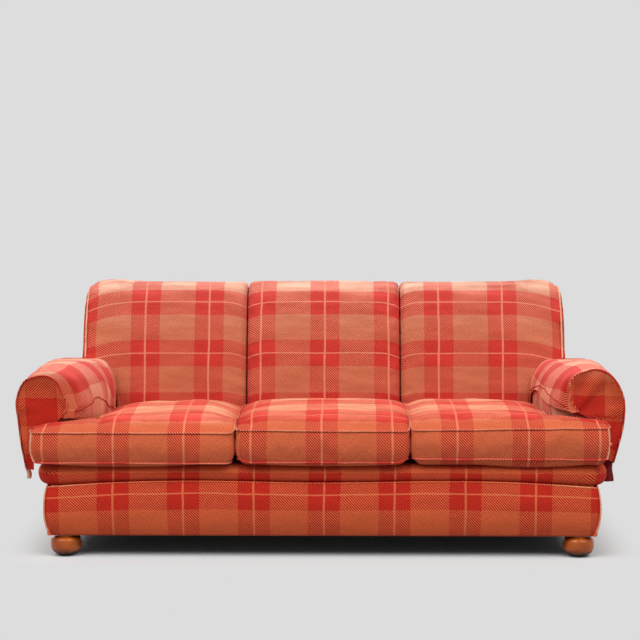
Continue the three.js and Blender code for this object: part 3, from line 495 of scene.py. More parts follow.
# Both piping cloths are paler than the cover: partly wear, partly a painted highlight on the piping's rounded
# crest. The pale one, much paler, runs down the outer corners.
piping_cloth = plaid_cloth("piping_plaid", 0.35, unfaded=0.3)
pale_piping = plaid_cloth("pale_piping_plaid", 2.2, unfaded=0.5, lines=0.0)


# Stores each vertex's share of paleness; on the tops it is partly faded cloth and partly a painted highlight.
def set_fade_and_light(mesh, amount):
    use = mesh.attributes.new("fade_and_light", "FLOAT", "POINT")
    for vertex in mesh.vertices:
        use.data[vertex.index].value = amount(*vertex.co)


def piped(name, points, radius=0.0036, material=piping_cloth, looped=False, mark=0.008,
          pale_spread=None):
    line = bpy.data.curves.new(name, "CURVE")
    line.dimensions = "3D"
    spline = line.splines.new("POLY")
    spline.points.add(len(points) - 1)
    for i, (spot, given) in enumerate(zip(points, spline.points)):
        given.co = (*spot, 1.0)
        given.radius = 1 + 0.14 * noise.noise(Vector((i * 0.37, len(name), 0.5)))
    spline.use_cyclic_u = looped
    line.bevel_depth = radius
    line.bevel_resolution = 2
    line.use_fill_caps = True
    piece = bpy.data.objects.new(name, line)
    bpy.context.scene.collection.objects.link(piece)
    only(piece)
    bpy.ops.object.convert(target="MESH")
    piece = bpy.context.object
    mesh = piece.data
    layer = mesh.uv_layers.new(name="cloth")
    for loop in mesh.loops:
        x, y, z = mesh.vertices[loop.vertex_index].co
        if material is pale_piping:
            spot = (WARP_HALF + 0.02 * math.sin(40 * (x + y)), WEFT_HALF + 0.02 * math.sin(60 * z))
        else:
            spot = (x - mark, WEFT_HALF + y + 0.43 if y > -0.40 else WEFT_HALF + z - 0.43)
        layer.data[loop.index].uv = spot
    if pale_spread:
        set_fade_and_light(mesh, pale_spread)
    softened(piece, 60)
    finished(piece, material)
    return piece


def spread(start, end, step):
    count = max(1, round(abs(end - start) / step))
    return [start + (end - start) * i / count for i in range(count + 1)]


top_line = [(x, -0.4225, BORDER_HIGH + BORDER_ARCH * arched(x) + 0.0012)
            for x in spread(-0.925, 0.925, 0.0142)]
left_turn = [(-0.9440, -0.300 - 0.0105 * i, BORDER_HIGH + 0.0017) for i in range(11)]
left_turn += [(-0.9420, -0.4140, BORDER_HIGH + 0.0014), (-0.9350, -0.4215, BORDER_HIGH + 0.0012)]
right_turn = [(-x, y, z) for x, y, z in reversed(left_turn)]
# The border's top piping is painted paler towards both ends.
piped("border_top_piping", left_turn + top_line + right_turn, 0.0030, sofa_cloth,
      pale_spread=lambda x, y, z: 1.9 * max(0.0, (abs(x) - 0.45) / 0.5) ** 2)
for side, sign in (("left", -1), ("right", 1)):
    corner = []
    for t in spread(0.0, 1.0, 1 / 24):
        z = BORDER_LOW + 0.002 + (BORDER_HIGH - BORDER_LOW - 0.004) * t
        corner.append((sign * (0.9320 + border_out(t) * 0.90), -0.4115 - border_out(t) * 0.86, z))
    piped(f"border_corner_piping_{side}", corner, 0.0027, pale_piping)
    rear = [(sign * 0.9450, 0.3570, 0.083 + 0.316 * i / 30) for i in range(31)]
    piped(f"rear_corner_piping_{side}", rear)


# Seat platform: a layer of wadding under plain lining on the straps, below the loose cushions.
# It hardly shows, only as a dark line between the cushions.
lining = speckled("platform_lining", 0.95, 300.0, 3.0, dye(96, 34, 26), dye(150, 66, 46))[0]


def platform_top(u, v):
    y = -0.3550 + 0.6090 * v
    half = 0.8885 if y < -0.300 else 0.7860
    x = -half + 2 * half * u
    edge = min(1.0, (half - abs(x)) / 0.03, (y + 0.3560) / 0.03, (0.2545 - y) / 0.03)
    return (x, y, 0.3130 + 0.0118 * math.sqrt(max(0.0, 1 - (1 - max(0.0, edge)) ** 2)))


platform = woven("platform_pad", 90, 40, platform_top, lambda u, v: (1.6 * u, 0.6 * v))
facing(platform, (0, 0, 1))
backed(platform, 0.055)
softened(platform, 50)
finished(platform, lining)
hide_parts("seat_platform")


# Edge roll: a stuffed roll stitched along the front of the seat, which turns both front corners
# and dies away against the arms. Its cloth is cut with the check running up from the border.
ROLL_RUN, ROLL_CORNER, ROLL_SIZE, ROLL_TURN_Y = 0.899, 0.045, 0.0395, -0.338
ROLL_BEND = ROLL_RUN + ROLL_CORNER * math.pi / 2
ROLL_REACH = ROLL_BEND + ROLL_SIZE


def roll_line(distance):
    sign = 1 if distance >= 0 else -1
    d = abs(distance)
    if d <= ROLL_RUN:
        spot, out = (d, ROLL_TURN_Y - ROLL_CORNER), (0, -1)
    elif d <= ROLL_BEND:
        turn = (d - ROLL_RUN) / ROLL_CORNER
        spot = (ROLL_RUN + ROLL_CORNER * math.sin(turn), ROLL_TURN_Y - ROLL_CORNER * math.cos(turn))
        out = (math.sin(turn), -math.cos(turn))
    else:
        spot, out = (ROLL_RUN + ROLL_CORNER, ROLL_TURN_Y + d - ROLL_BEND), (1, 0)
    return (sign * spot[0], spot[1]), (sign * out[0], out[1])


def roll_at(u, v):
    distance = -ROLL_REACH + 2 * ROLL_REACH * u
    (x, y), (out_x, out_y) = roll_line(distance)
    turn = 2 * math.pi * v
    close = min(1.0, (ROLL_REACH - abs(distance)) / 0.018)
    fat = math.sqrt(max(0.0, 1 - (1 - close) ** 2))
    full = 1 + wander(x, y, math.sin(turn), 0.22, 0.05)
    across = ROLL_SIZE * math.cos(turn) * full * fat
    squeeze = 0.0097 * arched(x) - 0.0032
    up = (0.0368 - squeeze) * math.copysign(abs(math.sin(turn)) ** 0.85, math.sin(turn)) * fat
    press = 0.004 * max(0.0, math.sin(turn)) * (0.5 + 0.5 * noise.noise(Vector((x * 4, 1.7, 0))))
    return (x + out_x * across, y + out_y * across, 0.2880 + squeeze + up - press)


roll = woven("edge_roll", 300, 28, roll_at,
             lambda u, v: (-ROLL_REACH + 2 * ROLL_REACH * u - 0.010,
                           0.045 + 0.0385 * 2 * math.pi * (v if v < 0.5 else v - 1)))
roll = sewn("edge_roll", roll)
finished(roll, plaid_cloth("roll_plaid", unfaded=1.0))
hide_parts("front_edge_roll")


# Arms: wadding and plaid over a post and a board, upright inside and rolled outwards on top.
# The inside is cut with the stripe running up, and loose covers hide nearly all of it.
ARM_TOP_Z, ARM_TOP_X, ARM_FOOT_Z, ROLL_MID, COVER_EASE = 0.643, 0.925, 0.2485, 0.525, 0.0090
SHOULDER, ROLL_ROUND = 0.140, 0.118
arm_outs = {"left": 1.056, "right": 1.042}


def arm_inner(y):
    share = min(1.0, max(0.0, (y + 0.290) / 0.150))
    return 0.787 + 0.059 * math.cos(share * math.pi / 2) ** 2


def arm_outline(growth, inner, low, outer):
    rim, shoulder = inner - growth, ARM_TOP_Z - SHOULDER
    spots = [(rim, low + (shoulder - low) * i / 12) for i in range(12)]
    for i in range(25):
        turn = math.pi - math.pi / 2 * i / 24
        spots.append((ARM_TOP_X + (ARM_TOP_X - rim) * math.cos(turn),
                      shoulder + (SHOULDER + growth) * math.sin(turn)))
    for i in range(1, 37):
        turn = math.pi / 2 - 0.92 * math.pi * i / 36
        spots.append((ARM_TOP_X + (outer - ARM_TOP_X + growth) * math.cos(turn),
                      ROLL_MID + (ROLL_ROUND + growth) * math.sin(turn)))
    panel = 0.930 + min(growth, 0.0)
    spots += [(panel, ROLL_MID - ROLL_ROUND - growth - 0.0125 * i) for i in range(1, 13)]
    return spots


def nose_growth(y):
    share = min(1.0, max(0.0, (y + 0.290) / 0.034))
    return -0.034 * (1 - math.sqrt(max(0.0, 1 - (1 - share) ** 2)))


def worn_top(y, z):
    crest, ease = 0.6605 - 0.0935 * max(0.0, y + 0.25), 0.006
    return -ease * math.log(math.exp(-z / ease) + math.exp(-crest / ease))


# The arm pad's cloth is painted paler all over: painted light that lifts the shade the loose covers cast on
# the inner sides.
arm_cloth = plaid_cloth("arm_plaid", 0.9, lines=0.2)
for side, sign in (("left", -1), ("right", 1)):
    depths = [-0.268 + 0.034 * (i / 8) ** 2 for i in range(9)]
    depths += [-0.234 + 0.5835 * i / 26 for i in range(1, 27)]
    rings = []
    for y in depths:
        outline = arm_outline(nose_growth(y - 0.022), arm_inner(y), ARM_FOOT_Z, arm_outs[side])
        ring = [(x, worn_top(y, z)) for x, z in outline]
        (x0, z0), (x1, z1) = ring[-1], ring[0]
        rings.append(ring + [(x0 + (x1 - x0) * i / 6, z0 + (z1 - z0) * i / 6) for i in range(1, 7)])
    count = len(rings[0])
    lengths = [0.0]
    for a, b in zip(rings[-1], rings[-1][1:]):
        lengths.append(lengths[-1] + math.dist(a, b))
    heart = (0.898, 0.430)

    def arm_row(v):
        j = round(v * (len(depths) + 5)) - 3
        closing = max(-1 - j, j - len(depths), 0) / 2
        return min(max(j, 0), len(depths) - 1), closing, not 0 <= j < len(depths), j < 0

    def arm_at(u, v):
        i, (row, closing, _, front) = round(u * (count - 1)), arm_row(v)
        x, z = (a + (b - a) * closing for a, b in zip(rings[row][i], heart))
        return (sign * x, depths[row] + (0.004 * closing if front else 0.0), z)

    def arm_cloth_at(u, v):
        i, (row, _, capped, _) = round(u * (count - 1)), arm_row(v)
        x, _, z = arm_at(u, v)
        if capped:
            return (x - sign * 0.915, z - 0.520)
        inside = lengths[12]
        return (1.3 * depths[row] - 0.03,
                0.067 + 0.16 * min(lengths[i], inside) + max(0.0, lengths[i] - inside))

    arm = woven(f"arm_{side}_pad", count - 1, len(depths) + 5, arm_at, arm_cloth_at)
    arm = sewn(f"arm_{side}_pad", arm)
    finished(arm, arm_cloth)
    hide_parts(f"arm_{side}")


# Back: three stuffed sections sewn side by side, rolled over the top rail, with deep seams between
# them, boxed outer ends and pale piping down the outer front edges. Their tops are painted paler:
# partly faded cloth, partly a painted highlight for the light that falls on them.
BACK_STEPS, BACK_END, BACK_PIPING, FACE_STEPS = 60, 0.9120, 0.8990, 400
BACK_ROWS = 2 * BACK_STEPS + 2
face_bends = (((0.186, 0.144, 0.196, 0.252), (0.3257, 0.4357, 0.638, 0.792)),
              ((0.252, 0.273, 0.310, 0.368), (0.792, 0.8635, 0.902, 0.902)),
              ((0.368, 0.404, 0.4395, 0.4395), (0.902, 0.902, 0.869, 0.8205)))


def evenly(points, count):
    runs = [0.0]
    for a, b in zip(points, points[1:]):
        runs.append(runs[-1] + math.dist(a, b))
    spots, i = [], 0
    for step in range(count + 1):
        goal = runs[-1] * step / count
        while i < len(points) - 2 and runs[i + 1] < goal:
            i += 1
        share = (goal - runs[i]) / max(1e-9, runs[i + 1] - runs[i])
        spots.append(tuple(a + (b - a) * share for a, b in zip(points[i], points[i + 1])))
    return spots, runs[-1]


face_line, face_length = evenly([(bezier(ys, i / 40), bezier(zs, i / 40)) for ys, zs in face_bends
                                 for i in range(41)], FACE_STEPS)
frame_line, _ = evenly([(0.2795, 0.3257), (0.2795, 0.3860), (0.3018, 0.4005), (0.3818, 0.8200),
                        (0.3845, 0.8505), (0.4305, 0.8505), (0.4305, 0.8205)], BACK_STEPS)
weft_mark = face_length * next(i for i, (y, z) in enumerate(face_line) if z > 0.638) / FACE_STEPS


def face_at(run):
    place = FACE_STEPS * run / face_length
    i = min(FACE_STEPS - 2, max(1, round(place)))
    (y0, z0), (y1, z1) = face_line[i - 1], face_line[i + 1]
    share = place - i
    y, z = (a + (b - a) * share for a, b in zip(face_line[i], face_line[i + 1]))
    size = math.dist((y0, z0), (y1, z1))
    return (y, z), (-(z1 - z0) / size, (y1 - y0) / size)


def above_arm(x):
    if abs(x) < 0.7775:
        return 0.3257
    reach = min(1.0, (ARM_TOP_X - abs(x)) / (ARM_TOP_X - 0.787))
    return worn_top(0.20, ARM_TOP_Z - SHOULDER + SHOULDER * math.sqrt(1 - reach * reach)) - 0.0065


def settle(piece, held, pressure, reach, swell=0.0, frames=16):
    only(piece)
    pins = piece.vertex_groups.new(name="sewn")
    pins.add(held, 1.0, "REPLACE")
    start = [v.co.copy() for v in piece.data.vertices]
    puff = piece.modifiers.new("stuffing", "CLOTH")
    cloth = puff.settings
    cloth.vertex_group_mass = "sewn"
    cloth.use_pressure = True
    cloth.uniform_pressure_force = pressure
    cloth.effector_weights.gravity = 0
    cloth.quality = 6
    cloth.mass = 0.3
    cloth.tension_stiffness = 20
    cloth.compression_stiffness = 20
    cloth.shear_stiffness = 8
    cloth.bending_stiffness = 0.6
    cloth.air_damping = 6
    cloth.shrink_min = -swell
    puff.collision_settings.use_collision = False
    puff.point_cache.frame_start = 1
    puff.point_cache.frame_end = frames
    for step in range(1, frames + 1):
        bpy.context.scene.frame_set(step)
    shown = piece.evaluated_get(bpy.context.evaluated_depsgraph_get())
    moved = [v.co.copy() for v in shown.data.vertices]
    piece.modifiers.remove(puff)
    bpy.context.scene.frame_set(1)
    for vertex, before, after in zip(piece.data.vertices, start, moved):
        step = after - before
        if step.length > reach:
            step *= reach / step.length
        vertex.co = before + step
    piece.vertex_groups.clear()


def smoothed(piece):
    only(piece)
    fine = piece.modifiers.new("fine", "SUBSURF")
    fine.levels = fine.render_levels = 1
    bpy.ops.object.modifier_apply(modifier=fine.name)
    bpy.ops.object.shade_smooth()


def near_edge(distance, reach):
    return (1 - min(1.0, max(0.0, distance) / reach)) ** 2


def round_in(distance, reach):
    return 1 - math.sqrt(max(0.0, 1 - (1 - min(1.0, max(0.0, distance) / reach)) ** 2))


def ramp(value, low, high):
    share = min(1.0, max(0.0, (value - low) / (high - low)))
    return share * share * (3 - 2 * share)


back_cloth = plaid_cloth("back_plaid", 0.25, unfaded=0.1, browned=1.0)
for place, low, high, mark in (("left", -BACK_END, -0.2915, -0.4330), ("centre", -0.2885, 0.2885, 0.005),
                               ("right", 0.2915, BACK_END, 0.435)):
    boxed = {"left": low, "right": high, "centre": None}[place]
    soft = [0.0, 0.0012, 0.004, 0.0085, 0.0125, 0.018, 0.026, 0.036]
    xs = [low + s for s in soft] + [low + 0.036 + (high - low - 0.072) * i / 42 for i in range(1, 42)] + \
        [high - s for s in reversed(soft)]
    if boxed:
        side_x = math.copysign(0.7770, boxed)
        xs = sorted(set(xs) - {min(xs, key=lambda x: abs(x - side_x))} | {side_x})
        nearest = min((x for x in xs if abs(x) > abs(side_x)), key=lambda x: abs(x - side_x))
        xs[xs.index(nearest)] = math.copysign(0.7785, boxed)

    def drawn_in(x, z):
        depth = 0.0
        for end in (low, high):
            near = abs(x - end)
            if end == boxed:
                high_up = ramp(z, 0.70, 0.89)
                depth = max(depth, 0.030 * round_in(near, 0.014), 0.058 * high_up * round_in(near, 0.075),
                            0.014 * round_in(near, 0.075))
            else:
                depth = max(depth, 0.036 * round_in(near, 0.030), 0.012 * round_in(near, 0.085))
        return depth

    def back_point(x, share):
        lowest = above_arm(x)
        start = face_length * next(i for i, (y, z) in enumerate(face_line) if z >= lowest) / FACE_STEPS
        run = start + (face_length - start) * share
        (y, z), (out_y, out_z) = face_at(run)
        taper = min(1.0, share / 0.08, (1 - share) / 0.24)
        near = min(x - low, high - x)
        crease = 0.0024 * math.exp(-near / 0.026)
        crease *= math.sin(z * 110 + 3 * noise.noise(Vector((x, z * 9, 2.0))))
        plump = 0.005 * math.sin(math.pi * (x - low) / (high - low))
        lump = wander(x, 17.0, z, 0.12, 0.0035) + wander(x, 19.0, z, 0.30, 0.004)
        lump *= 1 - 0.75 * ramp(z, 0.80, 0.88)
        out = (plump + lump + crease - drawn_in(x, z)) * taper
        return run, (x, y + out_y * out, max(z + out_z * out, lowest))

    def back_at(u, v):
        x, j = xs[round(u * (len(xs) - 1))], round(v * BACK_ROWS)
        if j <= BACK_STEPS:
            return back_point(x, j / BACK_STEPS)[1]
        if j == BACK_ROWS:
            return back_point(x, 0.0)[1]
        y, z = frame_line[BACK_ROWS - 1 - j]
        return (x, y, max(z, above_arm(x)))

    def back_cloth_at(u, v):
        x, j = xs[round(u * (len(xs) - 1))], round(v * BACK_ROWS)
        run = back_point(x, min(1.0, j / BACK_STEPS))[0]
        droop = 0.0
        for end in (low, high):
            fall, reach = (0.040, 0.210) if end == boxed else (0.016, 0.085)
            droop += fall * near_edge(abs(x - end), reach)
        return (x - mark, run - weft_mark + droop + max(0, j - BACK_STEPS) * 0.008)

    parts = [woven("back_shell", len(xs) - 1, BACK_ROWS, back_at, back_cloth_at)]
    for end in (low, high):
        def end_at(u, v):
            j = round(u * BACK_STEPS)
            y, z = frame_line[j]
            front = Vector(back_point(end, j / BACK_STEPS)[1])
            return front.lerp(Vector((end, y, max(z, above_arm(end)))), v)

        parts.append(woven("back_end", BACK_STEPS, 6, end_at,
                           lambda u, v: (end_at(u, v)[1] - 0.36, end_at(u, v)[2] - 0.633)))
    pad = sewn(f"back_section_{place}", *parts, gap=0.0003)
    mesh = pad.data
    held = [v.index for v in mesh.vertices if min(v.co.x - low, high - v.co.x) < 0.003 or v.co.y > 0.425
            or v.co.z < above_arm(v.co.x) + 0.004 or v.co.y > 0.262 and v.co.z < 0.76]
    settle(pad, held, 2.5, 0.006, swell=0.006)
    # Painted highlight on the top of the back, partly faded cloth too, weaker towards the rear.
    set_fade_and_light(mesh, lambda x, y, z: (1.20 * ramp(z, 0.845, 0.890) + 0.4 * ramp(z, 0.70, 0.86))
         * (1 - 0.75 * ramp(y, 0.385, 0.432)))
    smoothed(pad)
    finished(pad, back_cloth)
    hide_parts(f"back_pad_{place}")
    if boxed:
        edge_x = math.copysign(BACK_PIPING, boxed)
        seam = []
        for i in range(71):
            share = 0.02 + 0.95 * i / 70
            run, (x, y, z) = back_point(edge_x, share)
            _, (out_y, out_z) = face_at(run)
            seam.append((x, y + 0.002 * out_y, z + 0.002 * out_z))
        piped(f"back_end_piping_{place}", seam, 0.0032, pale_piping)

for side, sign in (("left", -1), ("right", 1)):
    def end_strip(u, v):
        z = 0.4010 + 0.4495 * u
        front = 0.3018 + 0.1907 * (z - 0.4005) if z < 0.82 else 0.3845
        rear = back_rear(z) - 0.0006 if z < 0.82 else 0.4305
        front = max(front, 0.3503) if z < 0.612 else front
        return (sign * BACK_END, front + (rear - front) * v, z)

    strip = woven(f"back_end_cover_{side}", 46, 3, end_strip,
                  lambda u, v: (end_strip(u, v)[1] - 0.36, end_strip(u, v)[2] - 0.633))
    facing(strip, (sign, 0, 0))
    backed(strip, 0.0210)
    softened(strip, 50)
    finished(strip, back_cloth)
    heights = [0.405 + 0.410 * i / 30 for i in range(31)]
    piped(f"outside_back_piping_{side}", [(sign * 0.8890, back_rear(z) + 0.0005, z) for z in heights], 0.0032)
top_seam = [(-0.885 + 1.77 * i / 90, back_rear(0.8190) + 0.0005, 0.8185) for i in range(91)]
piped("outside_back_top_piping", top_seam, 0.0032)


# Seat cushions: three loose boxed cushions, foam in wadding, with piping round both seams. The outer
# two have an ear in front of the arm. Their front corners have frayed, and their tops are painted
# paler: partly faded by sitting, partly a painted highlight for the light that falls on them.
SEAT_FRONT, SEAT_REAR, EAR_REAR, EAR_SIDE = -0.4440, 0.1650, -0.3040, 0.7775
SEAT_LOW, SEAT_STEP = 0.3258, 0.0115
seat_cloth = plaid_cloth("seat_plaid", unfaded=0.65, browned=0.4)
seats = {
    "left": {"ends": (-0.9970, -0.2985), "mark": -0.710, "ear": -1, "crown": 0.052, "ear_crown": 0.60,
             "seam": (0.4365, 0.4365), "foot": (0.3345, 0.3330), "sag": (-0.68, 0.26, 0.012),
             "low_end": (0.03, 2.4), "high_end": (0.04, 4.2)},
    "centre": {"ends": (-0.2935, 0.2990), "mark": 0.000, "ear": 0, "crown": 0.051, "ear_crown": 0.0,
               "seam": (0.4465, 0.4435), "foot": (0.3365, 0.3365), "sag": (0.02, 0.24, 0.008),
               "low_end": (0.04, 3.6), "high_end": (0.10, 4.5)},
    "right": {"ends": (0.3040, 0.9800), "mark": 0.702, "ear": 1, "crown": 0.043, "ear_crown": 0.60,
              "seam": (0.4475, 0.4555), "foot": (0.3490, 0.3480), "sag": (0.72, 0.18, 0.013),
              "low_end": (0.06, 6.0), "high_end": (0.075, 2.1)},
}


def bump_over(low, high, spot, power):
    across = (2 * spot - low - high) / (high - low)
    return max(0.0, 1 - abs(across) ** power)


for place, seat in seats.items():
    (low, high), mark, ear = seat["ends"], seat["mark"], seat["ear"]
    body_low = -EAR_SIDE if ear < 0 else low
    body_high = EAR_SIDE if ear > 0 else high
    outer = low if ear < 0 else high
    xs = spread(body_low, body_high, SEAT_STEP)
    if ear < 0:
        xs = spread(low, body_low, SEAT_STEP)[:-1] + xs
    if ear > 0:
        xs = xs + spread(body_high, high, SEAT_STEP)[1:]
    ys = (spread(SEAT_FRONT, EAR_REAR, SEAT_STEP)[:-1] if ear else []) + \
        spread(EAR_REAR if ear else SEAT_FRONT, SEAT_REAR, SEAT_STEP)
    ear_row = ys.index(EAR_REAR) if ear else len(ys) - 1
    corner_sizes = [(low, SEAT_FRONT, 0.030), (high, SEAT_FRONT, 0.030), (body_low, SEAT_REAR, 0.04),
                    (body_high, SEAT_REAR, 0.04)]
    if ear:
        corner_sizes.append((outer, EAR_REAR, 0.03))

    def cut_round(x, y):
        for corner_x, corner_y, size in corner_sizes:
            middle_x = corner_x + math.copysign(size, (body_low + body_high) / 2 - corner_x)
            middle_y = corner_y + math.copysign(size, (SEAT_FRONT + SEAT_REAR) / 2 - corner_y
                                                if corner_y != EAR_REAR else -1)
            a, b = (x - middle_x) / size, (y - middle_y) / size
            if a * (corner_x - middle_x) > 0 and b * (corner_y - middle_y) > 0 and abs(a) <= 1.001 \
                    and abs(b) <= 1.001:
                return (middle_x + size * a * math.sqrt(1 - b * b / 2),
                        middle_y + size * b * math.sqrt(1 - a * a / 2))
        return x, y

    def end_tuck(x, y, z):
        lift = min(1.0, max(0.0, (z - SEAT_LOW) / 0.052))
        for end, side in ((low, 1), (high, -1)):
            x += side * 0.017 * (1 - lift) ** 2 * near_edge(abs(x - end), 0.09)
        return x, y, z

    def along_seat(pair, x):
        share = min(1.0, max(0.0, (x - low) / (high - low)))
        return pair[0] + (pair[1] - pair[0]) * share

    def seam_foot(x):
        lifted = 0.0 if ear else 0.010 * (near_edge(x - low, 0.06) + near_edge(high - x, 0.06))
        return along_seat(seat["foot"], x) + lifted

    def crown(x, y):
        middle = (body_low + body_high) / 2
        by_arm = x < middle and ear < 0 or x >= middle and ear > 0
        forward = 0.08 * (1 - ramp(y, -0.30, -0.10)) if by_arm else 0.0
        if x < middle:
            more, power = seat["low_end"]
            across = (middle - x) / (middle - body_low + more + forward)
        else:
            more, power = seat["high_end"]
            across = (x - middle) / (body_high - middle + more + forward)
        body = (1 - min(1.0, across) ** power) * bump_over(SEAT_FRONT, SEAT_REAR, y, 2.4)
        wing = 0.0
        if ear:
            beyond = max(0.0, ear * x - EAR_SIDE) / (max(abs(low), abs(high)) - EAR_SIDE + 0.012)
            wing = seat["ear_crown"] * (1 - beyond ** 1.6) * bump_over(SEAT_FRONT, -0.25, y, 2.0)
        return (body ** 3 + wing ** 3) ** (1 / 3)

    def seam_high(x, y):
        return along_seat(seat["seam"], x) + seat["crown"] * crown(x, y)

    def grid_at(u, v):
        return xs[round(u * (len(xs) - 1))], ys[round(v * (len(ys) - 1))]

    def cut_from(start):
        def cloth(u, v):
            x, y = grid_at(u, v)
            return (x - mark, y + start)
        return cloth

    def seat_top(u, v):
        x, y = grid_at(u, v)
        lump = wander(x, y, 23.0, 0.10, 0.0045) + wander(x, y, 29.0, 0.25, 0.005)
        x_cut, y_cut = cut_round(x, y)
        inside = min(1.0, max(0.0, min(x - low, high - x, y - SEAT_FRONT, SEAT_REAR - y)) / 0.05)
        if ear * x > EAR_SIDE - 0.05:
            inside = min(inside, max(0.0, EAR_REAR - y) / 0.05 if ear * x > EAR_SIDE else 1.0)
        return (x_cut, y_cut, seam_high(x, y) + lump * inside)

    def seat_under(u, v):
        x, y = grid_at(u, v)
        edge = min(x - low, high - x, y - SEAT_FRONT, SEAT_REAR - y)
        if ear * x > EAR_SIDE:
            edge = min(edge, EAR_REAR - y)
        x_cut, y_cut = cut_round(x, y)
        middle, half, deep = seat["sag"]
        sag = deep * max(0.0, 1 - ((x - middle) / half) ** 2)
        sag *= math.exp(-((y - SEAT_FRONT - 0.014) / 0.013) ** 2)
        return end_tuck(x_cut, y_cut, SEAT_LOW + (seam_foot(x) - SEAT_LOW) * near_edge(edge, 0.024)
                        - (sag if edge > 0.001 else 0.0))

    def without_notch(sheet):
        if not ear:
            return sheet
        only(sheet)
        mesh = sheet.data
        bpy.ops.object.mode_set(mode="EDIT")
        bpy.ops.mesh.select_mode(type="FACE")
        bpy.ops.mesh.select_all(action="DESELECT")
        bpy.ops.object.mode_set(mode="OBJECT")
        for polygon in mesh.polygons:
            x, y, _ = polygon.center
            polygon.select = ear * x > EAR_SIDE and y > EAR_REAR
        bpy.ops.object.mode_set(mode="EDIT")
        bpy.ops.mesh.delete(type="FACE")
        bpy.ops.mesh.select_mode(type="VERT")
        bpy.ops.object.mode_set(mode="OBJECT")
        return sheet

    left_side = [(xs[0], y) for y in ys[:ear_row + 1]]
    if ear < 0:
        left_side += [(x, EAR_REAR) for x in xs if xs[0] < x <= body_low] + \
                     [(body_low, y) for y in ys[ear_row + 1:]]
    elif ear > 0:
        left_side += [(xs[0], y) for y in ys[ear_row + 1:]]
    right_side = [(xs[-1], y) for y in ys[:ear_row + 1]]
    if ear > 0:
        right_side += [(x, EAR_REAR) for x in reversed(xs) if body_high <= x < xs[-1]] + \
                      [(body_high, y) for y in ys[ear_row + 1:]]
    elif ear < 0:
        right_side += [(xs[-1], y) for y in ys[ear_row + 1:]]
    rear_side = [(x, ys[-1]) for x in reversed(xs) if body_low < x < body_high]
    front_side = [(x, ys[0]) for x in xs if low < x < high]
    uncut = front_side + right_side + rear_side + left_side[::-1]
    edge = [cut_round(*spot) for spot in uncut]
    edge_top = [seam_high(*spot) for spot in uncut]
    edge_run = [edge[0][0] - mark]
    for a, b in zip(edge, edge[1:] + edge[:1]):
        edge_run.append(edge_run[-1] + math.dist(a, b))
    outward = []
    for i in range(len(edge)):
        a, b = edge[i - 2], edge[(i + 2) % len(edge)]
        run = math.dist(a, b)
        outward.append(((b[1] - a[1]) / run, -(b[0] - a[0]) / run))

    def seat_boxing(u, v):
        i = round(u * len(edge)) % len(edge)
        (x, y), (out_x, out_y) = edge[i], outward[i]
        z = seam_foot(uncut[i][0]) + (edge_top[i] - seam_foot(uncut[i][0])) * v
        bulge = (0.0065 if out_y < -0.5 else 0.0025) * math.sin(math.pi * v)
        bulge += wander(x, y, z + 31.0, 0.09, 0.002) * math.sin(math.pi * v)
        return end_tuck(x + out_x * bulge, y + out_y * bulge, z)

    top = without_notch(woven("seat_top", len(xs) - 1, len(ys) - 1, seat_top, cut_from(0.336)))
    under = without_notch(woven("seat_under", len(xs) - 1, len(ys) - 1, seat_under, cut_from(0.10)))
    boxing = woven("seat_boxing", len(edge), 8, seat_boxing,
                   lambda u, v: (edge_run[round(u * len(edge))], 0.050 + 0.096 * v))
    cushion = sewn(f"seat_cushion_{place}_cover", top, under, boxing)
    mesh = cushion.data
    seam_places = {(round(x, 4), round(y, 4)) for x, y in edge}
    seam_spots = [v.index for v in mesh.vertices if v.co.z < seam_foot(v.co.x) + 0.0005
                  or v.co.z > 0.420 and (round(v.co.x, 4), round(v.co.y, 4)) in seam_places]
    settle(cushion, seam_spots, 3.0, 0.008, swell=0.012)
    # Painted highlight on the crowned top, partly faded cloth too.
    set_fade_and_light(mesh, lambda x, y, z: 1.75 * ramp(z - along_seat(seat["seam"], x), 0.016, 0.050))
    smoothed(cushion)
    finished(cushion, seat_cloth)
    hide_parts(f"seat_cushion_{place}")

    proud = 0.0012
    for level, heights in (("top", edge_top), ("bottom", [seam_foot(x) for x, _ in uncut])):
        seam = []
        for (x, y), (out_x, out_y), z in zip(edge, outward, heights):
            sway = 0.0016 * noise.noise(Vector((x * 14, y * 14, z * 50)))
            seam.append(end_tuck(x + out_x * proud, y + out_y * proud, z + sway))
        piped(f"seat_{level}_piping_{place}", seam, 0.0030, looped=True, mark=mark)
    if ear:
        x, y = cut_round(outer, SEAT_FRONT)
        foot_z, top_z = seam_foot(x), seam_high(outer, SEAT_FRONT)
        upright = []
        for i in range(17):
            bow = 0.001 + 0.003 * math.sin(math.pi * i / 16)
            upright.append(end_tuck(x + ear * bow, y - bow, foot_z + (top_z - foot_z) * i / 16))
        piped(f"seat_corner_piping_{place}", upright, 0.0036, pale_piping)


def frayed(name, spot, count, reach):
    threads = []
    for i in range(count):
        turn = 2.4 * i
        away = Vector((math.cos(turn), -0.8 - 0.4 * math.sin(3 * i), 0.6 * math.sin(turn) - 0.2)).normalized()
        length = reach * (0.55 + 0.45 * abs(math.sin(5 * i)))
        curl = Vector((0.25 * math.sin(7 * i), 0, -0.5)) * length
        line = [Vector(spot) + away * length * t + curl * t * t for t in (0.0, 0.3, 0.6, 0.85, 1.0)]
        threads.append(piped(f"{name}_{i}", [tuple(p) for p in line], 0.0011, pale_piping))
    return sewn(name, *threads, gap=0.00001)


frayed("frayed_corner_centre", (-0.2925, -0.4400, 0.4560), 9, 0.011)
frayed("frayed_corner_right", (0.9790, -0.4370, 0.4050), 8, 0.009)


# Arm covers: loose sleeves of the same plaid, hemmed and topstitched, pulled over each arm. Their
# front panels have sunk, and torn open seams leave ragged tails at the lower front corners.
COVER_REAR, COVER_BEND, COVER_FRONT = 0.1900, -0.2150, -0.2935
